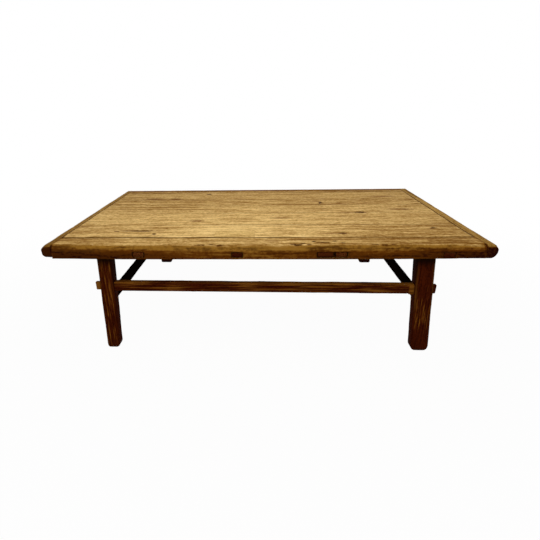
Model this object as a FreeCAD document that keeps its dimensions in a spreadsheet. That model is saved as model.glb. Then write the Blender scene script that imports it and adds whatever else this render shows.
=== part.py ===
import FreeCAD, Part
import os

# Low elm table: a planked top in a heavy frame, on four splayed legs tied by stretchers.
# Origin on the floor under the middle of the top, +X along the length, +Y to the rear, +Z up.

# Driving dimensions in millimetres
SIZES = (
    ("table_length", 1800, "whole length of the top"),
    ("table_height", 492, "floor to the top surface"),
    ("plank_1_width", 183, "front plank, seam to seam"),
    ("plank_2_width", 204, "second plank, seam to seam"),
    ("plank_3_width", 156, "middle plank, seam to seam"),
    ("plank_4_width", 138, "fourth plank, seam to seam"),
    ("plank_5_width", 177, "rear plank, seam to seam"),
    ("plank_thickness", 29, "planks of the top"),
    ("seam_gap", 0.8, "open seam between planks and around them"),
    ("tongue_thickness", 9, "tongues along the plank edges and ends"),
    ("tongue_depth", 10, "reach of a tongue past its seam"),
    ("rail_width", 96, "long frame rails, seen from above"),
    ("rail_thickness", 59, "long frame rails, top to underside"),
    ("rail_nose_radius", 20, "worn upper edge of the long rails"),
    ("rail_lower_radius", 6, "lower edge of the long rails"),
    ("rail_tenon_length", 30, "rail tenons in the end rails"),
    ("rail_tenon_width", 50, "rail tenons, seen from above"),
    ("rail_tenon_thickness", 18, "rail tenons, top to underside"),
    ("end_rail_width", 45, "end rails, seen from above"),
    ("end_rail_thickness", 53, "end rails, top to underside"),
    ("end_rail_top_radius", 15, "upper outer edge of the end rails"),
    ("end_rail_lower_radius", 28, "swept lower outer edge of the end rails"),
    ("batten_width", 62, "cross battens under the planks"),
    ("batten_thickness", 22, "cross battens below the planks"),
    ("batten_tenon_width", 48, "batten tenons that show on the long rails"),
    ("batten_1_offset", 156, "first batten, inwards of the left legs"),
    ("batten_2_place", -102, "second batten, from the middle of the table"),
    ("batten_3_place", 310, "third batten, from the middle of the table"),
    ("batten_4_offset", 75, "last batten, outwards of the right legs"),
    ("dovetail_height", 8, "dovetail key of a batten inside the planks"),
    ("dovetail_neck", 34, "key width at the planks' underside"),
    ("dovetail_head", 42, "key width inside the planks"),
    ("left_leg_inset", 240, "left end of the top to the middle of a leg's shoulder"),
    ("right_leg_inset", 250, "right end of the top to the middle of a leg's shoulder"),
    ("left_leg_splay", 18, "left feet, outwards of their shoulders"),
    ("right_leg_splay", 33, "right feet, outwards of their shoulders"),
    ("depth_splay", 22, "all feet, to the front or rear of their shoulders"),
    ("leg_depth", 58, "legs at the shoulder, front to rear"),
    ("foot_depth", 54, "legs at the floor, front to rear"),
    ("front_left_leg_width", 62, "front left leg at the shoulder"),
    ("front_left_foot_width", 56, "front left leg at the floor"),
    ("front_right_leg_width", 75, "front right leg at the shoulder"),
    ("front_right_foot_width", 73, "front right leg at the floor"),
    ("rear_leg_width", 70, "rear legs at the shoulder"),
    ("rear_foot_width", 65, "rear legs at the floor"),
    ("leg_corner_radius", 12, "rounded long corners of the legs"),
    ("foot_edge_radius", 11, "worn edge round each foot"),
    ("leg_tenon_width", 36, "leg tenons along the rail"),
    ("leg_tenon_depth", 28, "leg tenons across the rail"),
    ("leg_tenon_height", 42, "leg tenons into the rail"),
    ("stretcher_height", 42, "front and rear stretchers"),
    ("stretcher_thickness", 30, "front and rear stretchers"),
    ("stretcher_level", 292, "middle of the front and rear stretchers"),
    ("stretcher_tenon_height", 38, "through tenons of those stretchers"),
    ("stretcher_tenon_thickness", 16, "through tenons of those stretchers"),
    ("left_tenon_reach", 25, "those tenons past the outer faces of the left legs"),
    ("right_tenon_reach", 18, "those tenons past the outer faces of the right legs"),
    ("side_stretcher_height", 43, "left and right stretchers"),
    ("side_stretcher_thickness", 26, "left and right stretchers"),
    ("side_stretcher_level", 232, "middle of the left and right stretchers"),
    ("side_tenon_height", 28, "blind tenons of those stretchers"),
    ("side_tenon_thickness", 14, "blind tenons of those stretchers"),
    ("side_tenon_length", 34, "blind tenons of those stretchers"),
    ("peg_diameter", 9, "wooden pegs across the tenons"),
    ("peg_past_tenon", 8, "peg reach beyond the tenon that it locks"),
    ("peg_proud", 1, "peg head above the face that it was driven into"),
    ("leg_peg_rise", 14, "leg pegs above the rail's underside"),
    ("end_peg_offset", 12, "end rail pegs outwards of the rail shoulder"),
    ("patch_length", 174, "patch let into the front plank"),
    ("patch_width", 86, "patch let into the front plank"),
    ("patch_thickness", 8, "patch let into the front plank"),
    ("patch_place", -121, "middle of the patch along the table"),
    ("patch_margin", 9, "front plank left in front of the patch"),
    ("plug_length", 62, "plug in an old mortise of the front rail"),
    ("plug_depth", 14, "plug, from the rail's face inwards"),
    ("plug_gap", 8, "wood between the plug and the batten tenon beside it"),
    ("fit_clearance", 0.2, "play on each cheek of a joint"),
    ("end_clearance", 1, "space past the end of a blind tenon or tongue"),
)

# Places and lengths that follow from the driving dimensions
PLACES = (
    ("half_length", "Size.table_length / 2"),
    ("half_panel", "(Size.plank_1_width + Size.plank_2_width + Size.plank_3_width"
                   " + Size.plank_4_width + Size.plank_5_width) / 2"),
    ("half_depth", "Place.half_panel + Size.rail_width"),
    ("rail_bottom", "Size.table_height - Size.rail_thickness"),
    ("plank_bottom", "Size.table_height - Size.plank_thickness"),
    ("plank_middle", "Size.table_height - Size.plank_thickness / 2"),
    ("end_inner", "Place.half_length - Size.end_rail_width"),
    ("end_middle", "Size.table_height - Size.end_rail_thickness / 2"),
    ("rail_middle", "Place.half_panel + Size.rail_width / 2"),
    ("left_leg_x", "Place.half_length - Size.left_leg_inset"),
    ("right_leg_x", "Place.half_length - Size.right_leg_inset"),
    ("stretcher_fall", "1 - Size.stretcher_level / Place.rail_bottom"),
    ("stretcher_y", "Place.rail_middle + Size.depth_splay * Place.stretcher_fall"),
    ("left_stretcher_x", "Place.left_leg_x + Size.left_leg_splay * Place.stretcher_fall"),
    ("right_stretcher_x", "Place.right_leg_x + Size.right_leg_splay * Place.stretcher_fall"),
    ("side_fall", "1 - Size.side_stretcher_level / Place.rail_bottom"),
    ("side_leg_y", "Place.rail_middle + Size.depth_splay * Place.side_fall"),
    ("left_side_x", "Place.left_leg_x + Size.left_leg_splay * Place.side_fall"),
    ("right_side_x", "Place.right_leg_x + Size.right_leg_splay * Place.side_fall"),
    ("side_shoulder", "Place.side_leg_y - (Size.foot_depth + (Size.leg_depth - Size.foot_depth)"
                      " * Size.side_stretcher_level / Place.rail_bottom) / 2"),
    ("stretcher_shoulder", "Place.stretcher_y - (Size.foot_depth + (Size.leg_depth - Size.foot_depth)"
                           " * Size.stretcher_level / Place.rail_bottom) / 2"),
)

PLANK_COUNT = 5
SIDES = {-1: "left", 1: "right"}
DEPTHS = {-1: "front", 1: "rear"}
BATTEN_MIDDLES = (
    "-Place.left_leg_x + Size.batten_1_offset",
    "Size.batten_2_place",
    "Size.batten_3_place",
    "Place.right_leg_x + Size.batten_4_offset",
)

doc = FreeCAD.newDocument("LowTable")
sheet = doc.addObject("Spreadsheet::Sheet", "Size")
for row, (alias, value, meaning) in enumerate(SIZES, start=1):
    sheet.set(f"A{row}", str(value))
    sheet.setAlias(f"A{row}", alias)
    sheet.set(f"B{row}", meaning)
doc.recompute()

place = doc.addObject("App::VarSet", "Place")
for alias, formula in PLACES:
    place.addProperty("App::PropertyFloat", alias, "Places")
    place.setExpression(alias, formula)
doc.recompute()

nodes = []


def mirrored(low, high, sign):
    """A range on the side that the sign names."""
    return (low, high) if sign > 0 else (f"-({high})", f"-({low})")


def around(middle, width):
    """A range of the given width about its middle."""
    return (f"({middle}) - ({width}) / 2", f"({middle}) + ({width}) / 2")


def eased(limits, slack="Size.fit_clearance"):
    """A range widened at both ends by a clearance."""
    return (f"({limits[0]}) - {slack}", f"({limits[1]}) + {slack}")


def block(name, x_limits, y_limits, z_limits):
    """A box between the given limits."""
    box = doc.addObject("Part::Box", name)
    for side, axis, (low, high) in zip(("Length", "Width", "Height"), "xyz", (x_limits, y_limits, z_limits)):
        box.setExpression(side, f"({high}) - ({low})")
        box.setExpression(f"Placement.Base.{axis}", low)
    return box


def tapered(name, low_x, high_x, low_y, high_y, z_limits):
    """A solid with level ends whose section runs from its low limits to its high ones."""
    wedge = doc.addObject("Part::Wedge", name)
    ranges = {"X": low_x, "X2": high_x, "Z": low_y[::-1], "Z2": high_y[::-1], "Y": z_limits}
    for prefix, (low, high) in ranges.items():
        sign = "-" if prefix.startswith("Z") else ""
        wedge.setExpression(f"{prefix}min", f"{sign}({low})")
        wedge.setExpression(f"{prefix}max", f"{sign}({high})")
    wedge.Placement = FreeCAD.Placement(FreeCAD.Vector(), FreeCAD.Rotation(FreeCAD.Vector(1, 0, 0), 90))
    return wedge


def rod(name, direction, start, length, radius):
    """A round rod from its start point along a direction."""
    cylinder = doc.addObject("Part::Cylinder", name)
    cylinder.setExpression("Radius", radius)
    cylinder.setExpression("Height", length)
    turn = FreeCAD.Rotation(FreeCAD.Vector(0, 0, 1), FreeCAD.Vector(*direction))
    cylinder.Placement = FreeCAD.Placement(FreeCAD.Vector(), turn)
    for axis, where in zip("xyz", start):
        cylinder.setExpression(f"Placement.Base.{axis}", where)
    return cylinder


def rounded(name, base, radius_of_edge):
    """The base with each edge that has a radius rounded to it."""
    doc.recompute()
    fillet = doc.addObject("Part::Fillet", name)
    fillet.Base = base
    edges = []
    for number, edge in enumerate(base.Shape.Edges, start=1):
        radius = radius_of_edge(edge)
        if radius:
            edges.append((number, radius, radius))
    fillet.Edges = edges
    return fillet


def joined(name, pieces):
    """Pieces of one timber made one solid."""
    fuse = doc.addObject("Part::MultiFuse", name)
    fuse.Shapes = pieces
    return fuse


def cut(name, base, tools):
    """The base less its mortises, grooves and holes."""
    result = doc.addObject("Part::Cut", name)
    result.Base = base
    result.Tool = joined(f"{name}_cuts", tools)
    return result


def finished(label, piece):
    """Keep a piece as one node of the table."""
    piece.Label = label
    nodes.append(piece)


def size(alias):
    """A driving dimension as a number."""
    return float(sheet.get(alias))


def near(value, target):
    """Whether a coordinate lies on a face of the piece."""
    return abs(value - target) < 1e-4


def leg_name(depth, side):
    """The name of the leg at one corner."""
    return f"{DEPTHS[depth]}_{SIDES[side]}_leg"


def side_place(side, place_name):
    """A place that differs between the left and right legs, with its sign."""
    return f"{side} * Place.{SIDES[side]}_{place_name}"


def leg_width(depth, side, part_of_leg):
    """The width of a leg at its shoulder or foot."""
    owner = f"front_{SIDES[side]}" if depth < 0 else "rear"
    return f"Size.{owner}_{part_of_leg}_width"


def leg_width_at(depth, side, level):
    """The width of a leg at a height above the floor."""
    foot = leg_width(depth, side, "foot")
    top = leg_width(depth, side, "leg")
    return f"({foot} + ({top} - {foot}) * {level} / Place.rail_bottom)"


PEG = "Size.peg_diameter / 2"
PEG_HOLE = "Size.peg_diameter / 2 + Size.fit_clearance"
TONGUE = around("Place.plank_middle", "Size.tongue_thickness")
GROOVE = eased(TONGUE)
INSIDE_X = ("-Place.end_inner", "Place.end_inner")
INSIDE_Y = ("-Place.half_panel", "Place.half_panel")
WHOLE_Y = ("-Place.half_depth", "Place.half_depth")
BATTEN_Z = ("Place.plank_bottom - Size.batten_thickness", "Place.plank_bottom")
LEG_TENON_Z = ("Place.rail_bottom", "Place.rail_bottom + Size.leg_tenon_height")
RAIL_TENON_Z = around("Place.end_middle", "Size.rail_tenon_thickness")
PATCH_X = around("Size.patch_place", "Size.patch_length")
PATCH_FRONT = "-Place.half_panel + Size.patch_margin"
PATCH_Y = (PATCH_FRONT, f"{PATCH_FRONT} + Size.patch_width")
PATCH_Z = ("Size.table_height - Size.patch_thickness", "Size.table_height")
PLUG_END = "Size.batten_3_place - Size.batten_tenon_width / 2 - Size.plug_gap"
PLUG_X = (f"{PLUG_END} - Size.plug_length", PLUG_END)
PLUG_Y = ("-Place.half_depth", "-Place.half_depth + Size.plug_depth")


def leg_peg(name, depth, side, radius):
    """Peg across a leg tenon, driven from the inner face of the long rail."""
    start = (side_place(side, "leg_x"), f"{depth} * Place.half_panel", "Place.rail_bottom + Size.leg_peg_rise")
    length = "Size.rail_width / 2 + Size.leg_tenon_depth / 2 + Size.peg_past_tenon"
    return rod(name, (0, depth, 0), start, length, radius)


def end_peg(name, depth, side, radius):
    """Peg across a rail tenon, driven from the underside of the end rail."""
    start = (f"{side} * (Place.end_inner + Size.end_peg_offset)", f"{depth} * Place.rail_middle",
             "Size.table_height - Size.end_rail_thickness")
    length = "Size.end_rail_thickness / 2 + Size.rail_tenon_thickness / 2 + Size.peg_past_tenon"
    return rod(name, (0, 0, 1), start, length, radius)


def stretcher_peg(name, depth, side, radius):
    """Peg across a through tenon, driven from the inner face of the leg."""
    start = (side_place(side, "stretcher_x"), f"{depth} * (Place.stretcher_shoulder - Size.peg_proud)",
             "Size.stretcher_level")
    length = ("Place.stretcher_y - Place.stretcher_shoulder + Size.stretcher_tenon_thickness / 2"
              " + Size.peg_past_tenon + Size.peg_proud")
    return rod(name, (0, depth, 0), start, length, radius)


def side_peg(name, depth, side, radius):
    """Peg across a blind tenon, driven from the inner face of the leg."""
    half_width = f"{leg_width_at(depth, side, 'Size.side_stretcher_level')} / 2"
    start = (f"{side_place(side, 'side_x')} - {side} * ({half_width} + Size.peg_proud)",
             f"{depth} * (Place.side_shoulder + Size.side_tenon_length / 2)", "Size.side_stretcher_level")
    length = f"{half_width} + Size.side_tenon_thickness / 2 + Size.peg_past_tenon + Size.peg_proud"
    return rod(name, (side, 0, 0), start, length, radius)


def long_rail(depth):
    """Front or rear rail: nosed outside, grooved inside, mortised for battens and legs."""
    name = f"{DEPTHS[depth]}_rail"
    y_limits = mirrored("Place.half_panel", "Place.half_depth", depth)
    timber = block(f"{name}_timber", INSIDE_X, y_limits, ("Place.rail_bottom", "Size.table_height"))
    outer = depth * place.half_depth

    def edge_radius(edge):
        middle = edge.CenterOfMass
        if not near(middle.y, outer) or not near(middle.x, 0):
            return 0
        return size("rail_nose_radius") if near(middle.z, size("table_height")) else size("rail_lower_radius")

    pieces = [rounded(f"{name}_nosed", timber, edge_radius)]
    tenon_y = around(f"{depth} * Place.rail_middle", "Size.rail_tenon_width")
    groove_y = mirrored("Place.half_panel", "Place.half_panel + Size.tongue_depth + Size.end_clearance", depth)
    tools = [block(f"{name}_groove", INSIDE_X, groove_y, GROOVE)]
    through = eased(y_limits, "Size.end_clearance")
    for number, middle in enumerate(BATTEN_MIDDLES, start=1):
        mortise_x = eased(around(middle, "Size.batten_tenon_width"))
        tools.append(block(f"{name}_mortise_{number}", mortise_x, through, eased(BATTEN_Z)))
    for side, side_name in SIDES.items():
        tenon_x = mirrored("Place.end_inner", "Place.end_inner + Size.rail_tenon_length", side)
        pieces.append(block(f"{name}_{side_name}_tenon", tenon_x, tenon_y, RAIL_TENON_Z))
        socket_x = eased(around(side_place(side, "leg_x"), "Size.leg_tenon_width"))
        socket_y = eased(around(f"{depth} * Place.rail_middle", "Size.leg_tenon_depth"))
        socket_z = eased(LEG_TENON_Z, "Size.end_clearance")
        tools.append(block(f"{name}_{side_name}_socket", socket_x, socket_y, socket_z))
        tools.append(leg_peg(f"{name}_{side_name}_peg_hole", depth, side, PEG_HOLE))
        tools.append(end_peg(f"{name}_{side_name}_end_hole", depth, side, PEG_HOLE))
    if DEPTHS[depth] == "front":
        tools.append(block("front_rail_old_mortise", eased(PLUG_X), eased(PLUG_Y), eased(BATTEN_Z)))
    finished(name, cut(name, joined(f"{name}_blank", pieces), tools))


def end_rail(side):
    """Rail across one end: swept under outside, grooved for the planks, mortised for the long rails."""
    name = f"{SIDES[side]}_end_rail"
    z_limits = ("Size.table_height - Size.end_rail_thickness", "Size.table_height")
    timber = block(f"{name}_timber", mirrored("Place.end_inner", "Place.half_length", side), WHOLE_Y, z_limits)
    outer = side * place.half_length

    def edge_radius(edge):
        middle = edge.CenterOfMass
        at_top = near(middle.z, size("table_height"))
        if near(middle.x, outer) and near(middle.y, 0):
            return size("end_rail_top_radius") if at_top else size("end_rail_lower_radius")
        return size("rail_nose_radius") if at_top and near(abs(middle.y), place.half_depth) else 0

    blank = rounded(f"{name}_swept", timber, edge_radius)
    groove_x = mirrored("Place.end_inner", "Place.end_inner + Size.tongue_depth + Size.end_clearance", side)
    tools = [block(f"{name}_groove", groove_x, INSIDE_Y, GROOVE)]
    mortise_end = "Place.end_inner + Size.rail_tenon_length + Size.end_clearance"
    mortise_x = mirrored("Place.end_inner", mortise_end, side)
    for depth, depth_name in DEPTHS.items():
        mortise_y = eased(around(f"{depth} * Place.rail_middle", "Size.rail_tenon_width"))
        tools.append(block(f"{name}_{depth_name}_mortise", mortise_x, mortise_y, eased(RAIL_TENON_Z)))
        tools.append(end_peg(f"{name}_{depth_name}_peg_hole", depth, side, PEG_HOLE))
    finished(name, cut(name, blank, tools))


def dovetail(name, middle, y_limits, play):
    """The key on a batten, or with play the housing for it."""
    neck = around(middle, f"(Size.dovetail_neck + 2 * {play})")
    head = around(middle, f"(Size.dovetail_head + 2 * {play})")
    levels = ("Place.plank_bottom", f"Place.plank_bottom + Size.dovetail_height + {play}")
    return tapered(name, neck, head, y_limits, y_limits, levels)


def plank(number):
    """One plank: tongued at the ends and the rear edge, grooved in front, housed for the battens."""
    name = f"top_plank_{number}"
    before = "".join(f" + Size.plank_{other}_width" for other in range(1, number))
    front = f"-Place.half_panel{before}"
    rear = f"{front} + Size.plank_{number}_width"
    board_x = ("-Place.end_inner + Size.seam_gap", "Place.end_inner - Size.seam_gap")
    board_y = (f"{front} + Size.seam_gap / 2", f"{rear} - Size.seam_gap / 2")
    tongued_x = eased(INSIDE_X, "Size.tongue_depth")
    pieces = [
        block(f"{name}_board", board_x, board_y, ("Place.plank_bottom", "Size.table_height")),
        block(f"{name}_end_tongues", tongued_x, board_y, TONGUE),
        block(f"{name}_rear_tongue", board_x, (board_y[1], f"{rear} + Size.tongue_depth"), TONGUE),
    ]
    if number == 1:
        front_tongue_y = (f"{front} - Size.tongue_depth", board_y[0])
        pieces.append(block(f"{name}_front_tongue", board_x, front_tongue_y, TONGUE))
        tools = [block(f"{name}_patch_recess", eased(PATCH_X), eased(PATCH_Y), PATCH_Z)]
    else:
        groove_y = (front, f"{front} + Size.tongue_depth + Size.end_clearance")
        tools = [block(f"{name}_groove", eased(tongued_x, "Size.end_clearance"), groove_y, GROOVE)]
    housing_y = eased(board_y, "Size.tongue_depth")
    for batten_number, middle in enumerate(BATTEN_MIDDLES, start=1):
        tools.append(dovetail(f"{name}_housing_{batten_number}", middle, housing_y, "Size.fit_clearance"))
    finished(name, cut(name, joined(f"{name}_blank", pieces), tools))


def batten(number, middle):
    """One cross batten: keyed into the planks, with tenons through both long rails."""
    name = f"cross_batten_{number}"
    pieces = [
        block(f"{name}_bar", around(middle, "Size.batten_width"), INSIDE_Y, BATTEN_Z),
        block(f"{name}_tenons", around(middle, "Size.batten_tenon_width"), WHOLE_Y, BATTEN_Z),
        dovetail(f"{name}_key", middle, INSIDE_Y, "0"),
    ]
    finished(name, joined(name, pieces))


def leg_timber(depth, side):
    """The splayed and tapered leg below its tenon, with rounded corners and a worn foot."""
    name = leg_name(depth, side)
    foot_middle = f"{side_place(side, 'leg_x')} + {side} * Size.{SIDES[side]}_leg_splay"
    foot_x = around(foot_middle, leg_width(depth, side, "foot"))
    top_x = around(side_place(side, "leg_x"), leg_width(depth, side, "leg"))
    foot_y = around(f"{depth} * (Place.rail_middle + Size.depth_splay)", "Size.foot_depth")
    top_y = around(f"{depth} * Place.rail_middle", "Size.leg_depth")
    squared = tapered(f"{name}_squared", foot_x, top_x, foot_y, top_y, ("0", "Place.rail_bottom"))

    def corner_radius(edge):
        return 0 if near(edge.BoundBox.ZLength, 0) else size("leg_corner_radius")

    def foot_radius(edge):
        return size("foot_edge_radius") if near(edge.BoundBox.ZMax, 0) else 0

    cornered = rounded(f"{name}_cornered", squared, corner_radius)
    return rounded(f"{name}_timber", cornered, foot_radius)


def leg(depth, side, timber):
    """One leg: tenoned into the long rail and mortised for two stretchers."""
    name = leg_name(depth, side)
    tenon_x = around(side_place(side, "leg_x"), "Size.leg_tenon_width")
    tenon_y = around(f"{depth} * Place.rail_middle", "Size.leg_tenon_depth")
    tenon = block(f"{name}_tenon", tenon_x, tenon_y, LEG_TENON_Z)
    width = leg_width_at(depth, side, "Size.stretcher_level")
    through_x = around(side_place(side, "stretcher_x"), f"{width} + 2 * Size.{SIDES[side]}_tenon_reach")
    through_y = eased(around(f"{depth} * Place.stretcher_y", "Size.stretcher_tenon_thickness"))
    through_z = eased(around("Size.stretcher_level", "Size.stretcher_tenon_height"))
    blind_x = eased(around(side_place(side, "side_x"), "Size.side_tenon_thickness"))
    blind_y = mirrored("Place.side_shoulder - Size.side_tenon_length",
                       "Place.side_shoulder + Size.side_tenon_length + Size.end_clearance", depth)
    blind_z = eased(around("Size.side_stretcher_level", "Size.side_tenon_height"))
    tools = [
        block(f"{name}_through_mortise", through_x, through_y, through_z),
        block(f"{name}_blind_mortise", blind_x, blind_y, blind_z),
        leg_peg(f"{name}_tenon_hole", depth, side, PEG_HOLE),
        stretcher_peg(f"{name}_stretcher_hole", depth, side, PEG_HOLE),
        side_peg(f"{name}_side_hole", depth, side, PEG_HOLE),
    ]
    finished(name, cut(name, joined(f"{name}_blank", [timber, tenon]), tools))


def long_stretcher(depth, timbers):
    """Front or rear stretcher: shouldered against two legs, with tenons that pass through them."""
    name = f"{DEPTHS[depth]}_stretcher"
    bar_y = around(f"{depth} * Place.stretcher_y", "Size.stretcher_thickness")
    bar_z = around("Size.stretcher_level", "Size.stretcher_height")
    bar = block(f"{name}_bar", ("-Place.left_stretcher_x", "Place.right_stretcher_x"), bar_y, bar_z)
    shouldered = cut(f"{name}_shouldered", bar, timbers)
    ends = []
    for side in SIDES:
        half_width = f"{leg_width_at(depth, side, 'Size.stretcher_level')} / 2"
        past_middle = f"{half_width} + Size.{SIDES[side]}_tenon_reach"
        ends.append(f"{side_place(side, 'stretcher_x')} + {side} * ({past_middle})")
    tenon_y = around(f"{depth} * Place.stretcher_y", "Size.stretcher_tenon_thickness")
    tenon_z = around("Size.stretcher_level", "Size.stretcher_tenon_height")
    tenons = block(f"{name}_tenons", ends, tenon_y, tenon_z)
    holes = [stretcher_peg(f"{name}_{SIDES[side]}_hole", depth, side, PEG_HOLE) for side in SIDES]
    finished(name, cut(name, joined(f"{name}_blank", [shouldered, tenons]), holes))


def side_stretcher(side, timbers):
    """Left or right stretcher: shouldered against two legs, with blind tenons."""
    name = f"{SIDES[side]}_stretcher"
    bar_x = around(side_place(side, "side_x"), "Size.side_stretcher_thickness")
    bar_z = around("Size.side_stretcher_level", "Size.side_stretcher_height")
    bar = block(f"{name}_bar", bar_x, ("-Place.side_leg_y", "Place.side_leg_y"), bar_z)
    shouldered = cut(f"{name}_shouldered", bar, timbers)
    tenon_x = around(side_place(side, "side_x"), "Size.side_tenon_thickness")
    tenon_y = eased(("-Place.side_shoulder", "Place.side_shoulder"), "Size.side_tenon_length")
    tenon_z = around("Size.side_stretcher_level", "Size.side_tenon_height")
    tenons = block(f"{name}_tenons", tenon_x, tenon_y, tenon_z)
    holes = [side_peg(f"{name}_{DEPTHS[depth]}_hole", depth, side, PEG_HOLE) for depth in DEPTHS]
    finished(name, cut(name, joined(f"{name}_blank", [shouldered, tenons]), holes))


def peg_group(label, peg):
    """Four like pegs, one at each corner of the table."""
    group = doc.addObject("Part::Compound", label)
    corners = [(depth, side) for depth in DEPTHS for side in SIDES]
    group.Links = [peg(f"{label}_{leg_name(*corner)}", *corner, PEG) for corner in corners]
    finished(label, group)


# The frame and the planked top
for depth in DEPTHS:
    long_rail(depth)
for side in SIDES:
    end_rail(side)
for number in range(1, PLANK_COUNT + 1):
    plank(number)
for number, middle in enumerate(BATTEN_MIDDLES, start=1):
    batten(number, middle)
finished("plank_patch", block("plank_patch", PATCH_X, PATCH_Y, PATCH_Z))
finished("rail_plug", block("rail_plug", PLUG_X, PLUG_Y, BATTEN_Z))

# The legs and the stretchers that tie them
leg_timbers = {(depth, side): leg_timber(depth, side) for depth in DEPTHS for side in SIDES}
for (depth, side), timber in leg_timbers.items():
    leg(depth, side, timber)
for depth in DEPTHS:
    long_stretcher(depth, [leg_timbers[depth, side] for side in SIDES])
for side in SIDES:
    side_stretcher(side, [leg_timbers[depth, side] for depth in DEPTHS])

# The pegs that lock the tenons
peg_group("leg_pegs", leg_peg)
peg_group("end_rail_pegs", end_peg)
peg_group("stretcher_pegs", stretcher_peg)
peg_group("side_stretcher_pegs", side_peg)

doc.recompute()
for item in doc.Objects:
    if "Invalid" in item.State or "Error" in item.State:
        raise RuntimeError(f"{item.Name} failed: {item.State}")
for node in nodes:
    if node.Shape.isNull() or not node.Shape.isValid():
        raise RuntimeError(f"{node.Label} has no valid shape")

os.makedirs("parts", exist_ok=True)
for node in nodes:
    node.Shape.exportStep(f"parts/{node.Label}.step")
    box = node.Shape.BoundBox
    print(f"{node.Label}: {len(node.Shape.Solids)} solids, {node.Shape.Volume:.0f} mm3,"
          f" {box.XLength:.1f} x {box.YLength:.1f} x {box.ZLength:.1f}")
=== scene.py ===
"""Dresses the low elm table: worn timbers with what is left of their finish, on a plain studio stage."""

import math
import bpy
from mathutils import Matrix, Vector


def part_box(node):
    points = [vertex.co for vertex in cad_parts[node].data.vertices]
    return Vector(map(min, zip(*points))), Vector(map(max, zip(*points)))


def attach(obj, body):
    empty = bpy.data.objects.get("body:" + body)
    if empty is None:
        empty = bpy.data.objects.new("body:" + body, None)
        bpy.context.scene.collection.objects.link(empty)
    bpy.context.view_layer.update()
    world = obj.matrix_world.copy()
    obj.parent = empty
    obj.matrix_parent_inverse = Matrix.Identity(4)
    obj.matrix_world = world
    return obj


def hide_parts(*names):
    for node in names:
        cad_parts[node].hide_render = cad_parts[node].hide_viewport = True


bl_info = {
    "name": "Worn elm low table",
    "version": (1, 0, 0),
    "blender": (4, 5, 0),
    "location": "View3D > Sidebar > Low table",
    "description": "Models the worn timbers of a low elm table around its frame",
    "category": "Object",
}

import bmesh
import bpy
from bpy.props import FloatProperty, FloatVectorProperty, PointerProperty
from bpy.types import Operator, Panel, PropertyGroup
from mathutils import Euler, Matrix, Vector, noise
from mathutils.kdtree import KDTree

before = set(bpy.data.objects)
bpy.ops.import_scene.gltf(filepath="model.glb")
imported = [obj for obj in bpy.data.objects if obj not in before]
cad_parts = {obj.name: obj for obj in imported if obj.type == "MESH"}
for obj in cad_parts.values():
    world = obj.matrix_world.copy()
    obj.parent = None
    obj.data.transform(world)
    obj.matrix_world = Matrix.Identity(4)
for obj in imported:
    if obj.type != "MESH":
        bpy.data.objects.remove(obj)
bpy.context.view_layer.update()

MM = 0.001
X_AXIS, Y_AXIS, Z_AXIS = 0, 1, 2
BODY = "root"

# Levels and edges of the table, read from the frame; three seams have wandered off the line of the solids
FRONT_SEAM_DRIFT = 4.5 * MM
LEFT_SEAM_DRIFT = 9 * MM
RIGHT_SEAM_DRIFT = 8 * MM
RIGHT_DRIFT_START = -250 * MM
RIGHT_DRIFT_LENGTH = 250 * MM
RIGHT_DRIFT_REACH = 45 * MM
TABLE_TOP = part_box("top_plank_1")[1].z
RAIL_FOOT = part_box("front_rail")[0].z
PLANK_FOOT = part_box("top_plank_1")[0].z
TABLE_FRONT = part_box("front_rail")[0].y
FRONT_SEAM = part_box("front_rail")[1].y + FRONT_SEAM_DRIFT
REAR_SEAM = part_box("rear_rail")[0].y
LEFT_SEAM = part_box("left_end_rail")[1].x - LEFT_SEAM_DRIFT
RIGHT_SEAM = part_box("right_end_rail")[0].x
TENON_WIDTH = 44 * MM
PATCHED_PLANK = 0
CRACK_START = Vector((-640 * MM, -330 * MM, TABLE_TOP))
CRACK_END = Vector((-490 * MM, -330 * MM, TABLE_TOP))

# Two lengths are the same when they differ by less than this
SAME = 0.01 * MM
# A face looks along a direction when its normal's share of that direction is over this
FACING = 0.9
# How far one step of a seed moves a timber through the noise in x, y and z, and along its own grain
SEED_SHIFTS = (7.31, 3.17, 5.73)
GRAIN_SHIFT = 2.7
# A timber that is as pale as it is brown
EVEN_TONE = 0.5

# Marks on the top: place in x and y, half length and half width (mm), and how dark
TOP_MARKS = (
    (-476, -376, 12, 10, 0.95), (746, -302, 18, 12, 0.93), (-322, -180, 40, 18, 0.8), (86, -132, 52, 24, 0.5),
    (488, -40, 36, 18, 0.95), (452, -38, 80, 10, 0.65), (704, 18, 76, 16, 0.8), (730, 14, 20, 9, 0.88),
    (-650, 276, 72, 20, 0.82), (-520, 268, 40, 24, 0.8), (-338, 390, 18, 12, 0.95), (690, 304, 84, 20, 0.65),
    (302, 246, 60, 8, 0.4), (314, 162, 14, 28, 0.93), (296, 196, 30, 14, 0.6), (416, 150, 22, 13, 0.75),
    (516, 132, 10, 6, 0.6), (-560, -330, 96, 9, 0.92), (-652, -338, 14, 8, 0.9), (-832, -264, 26, 14, 0.5),
    (338, -372, 22, 14, 0.9), (300, -372, 60, 12, 0.5), (422, -252, 62, 6, 0.5), (242, -486, 32, 8, 0.9),
    (205, -474, 11, 7, 1.0), (288, -470, 14, 7, 0.96), (318, -492, 10, 6, 0.96), (160, -500, 13, 6, 0.96),
    (120, -506, 18, 6, 0.92), (140, -512, 20, 5, 0.95), (185, -510, 14, 4, 0.9), (440, -509, 22, 4, 0.92),
    (476, -512, 18, 4, 0.9), (512, -508, 16, 4, 0.9), (-250, -512, 26, 4, 0.9), (-205, -509, 16, 4, 0.92),
    (-170, -513, 20, 4, 0.88), (38, -468, 40, 20, 0.35),
)


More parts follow.
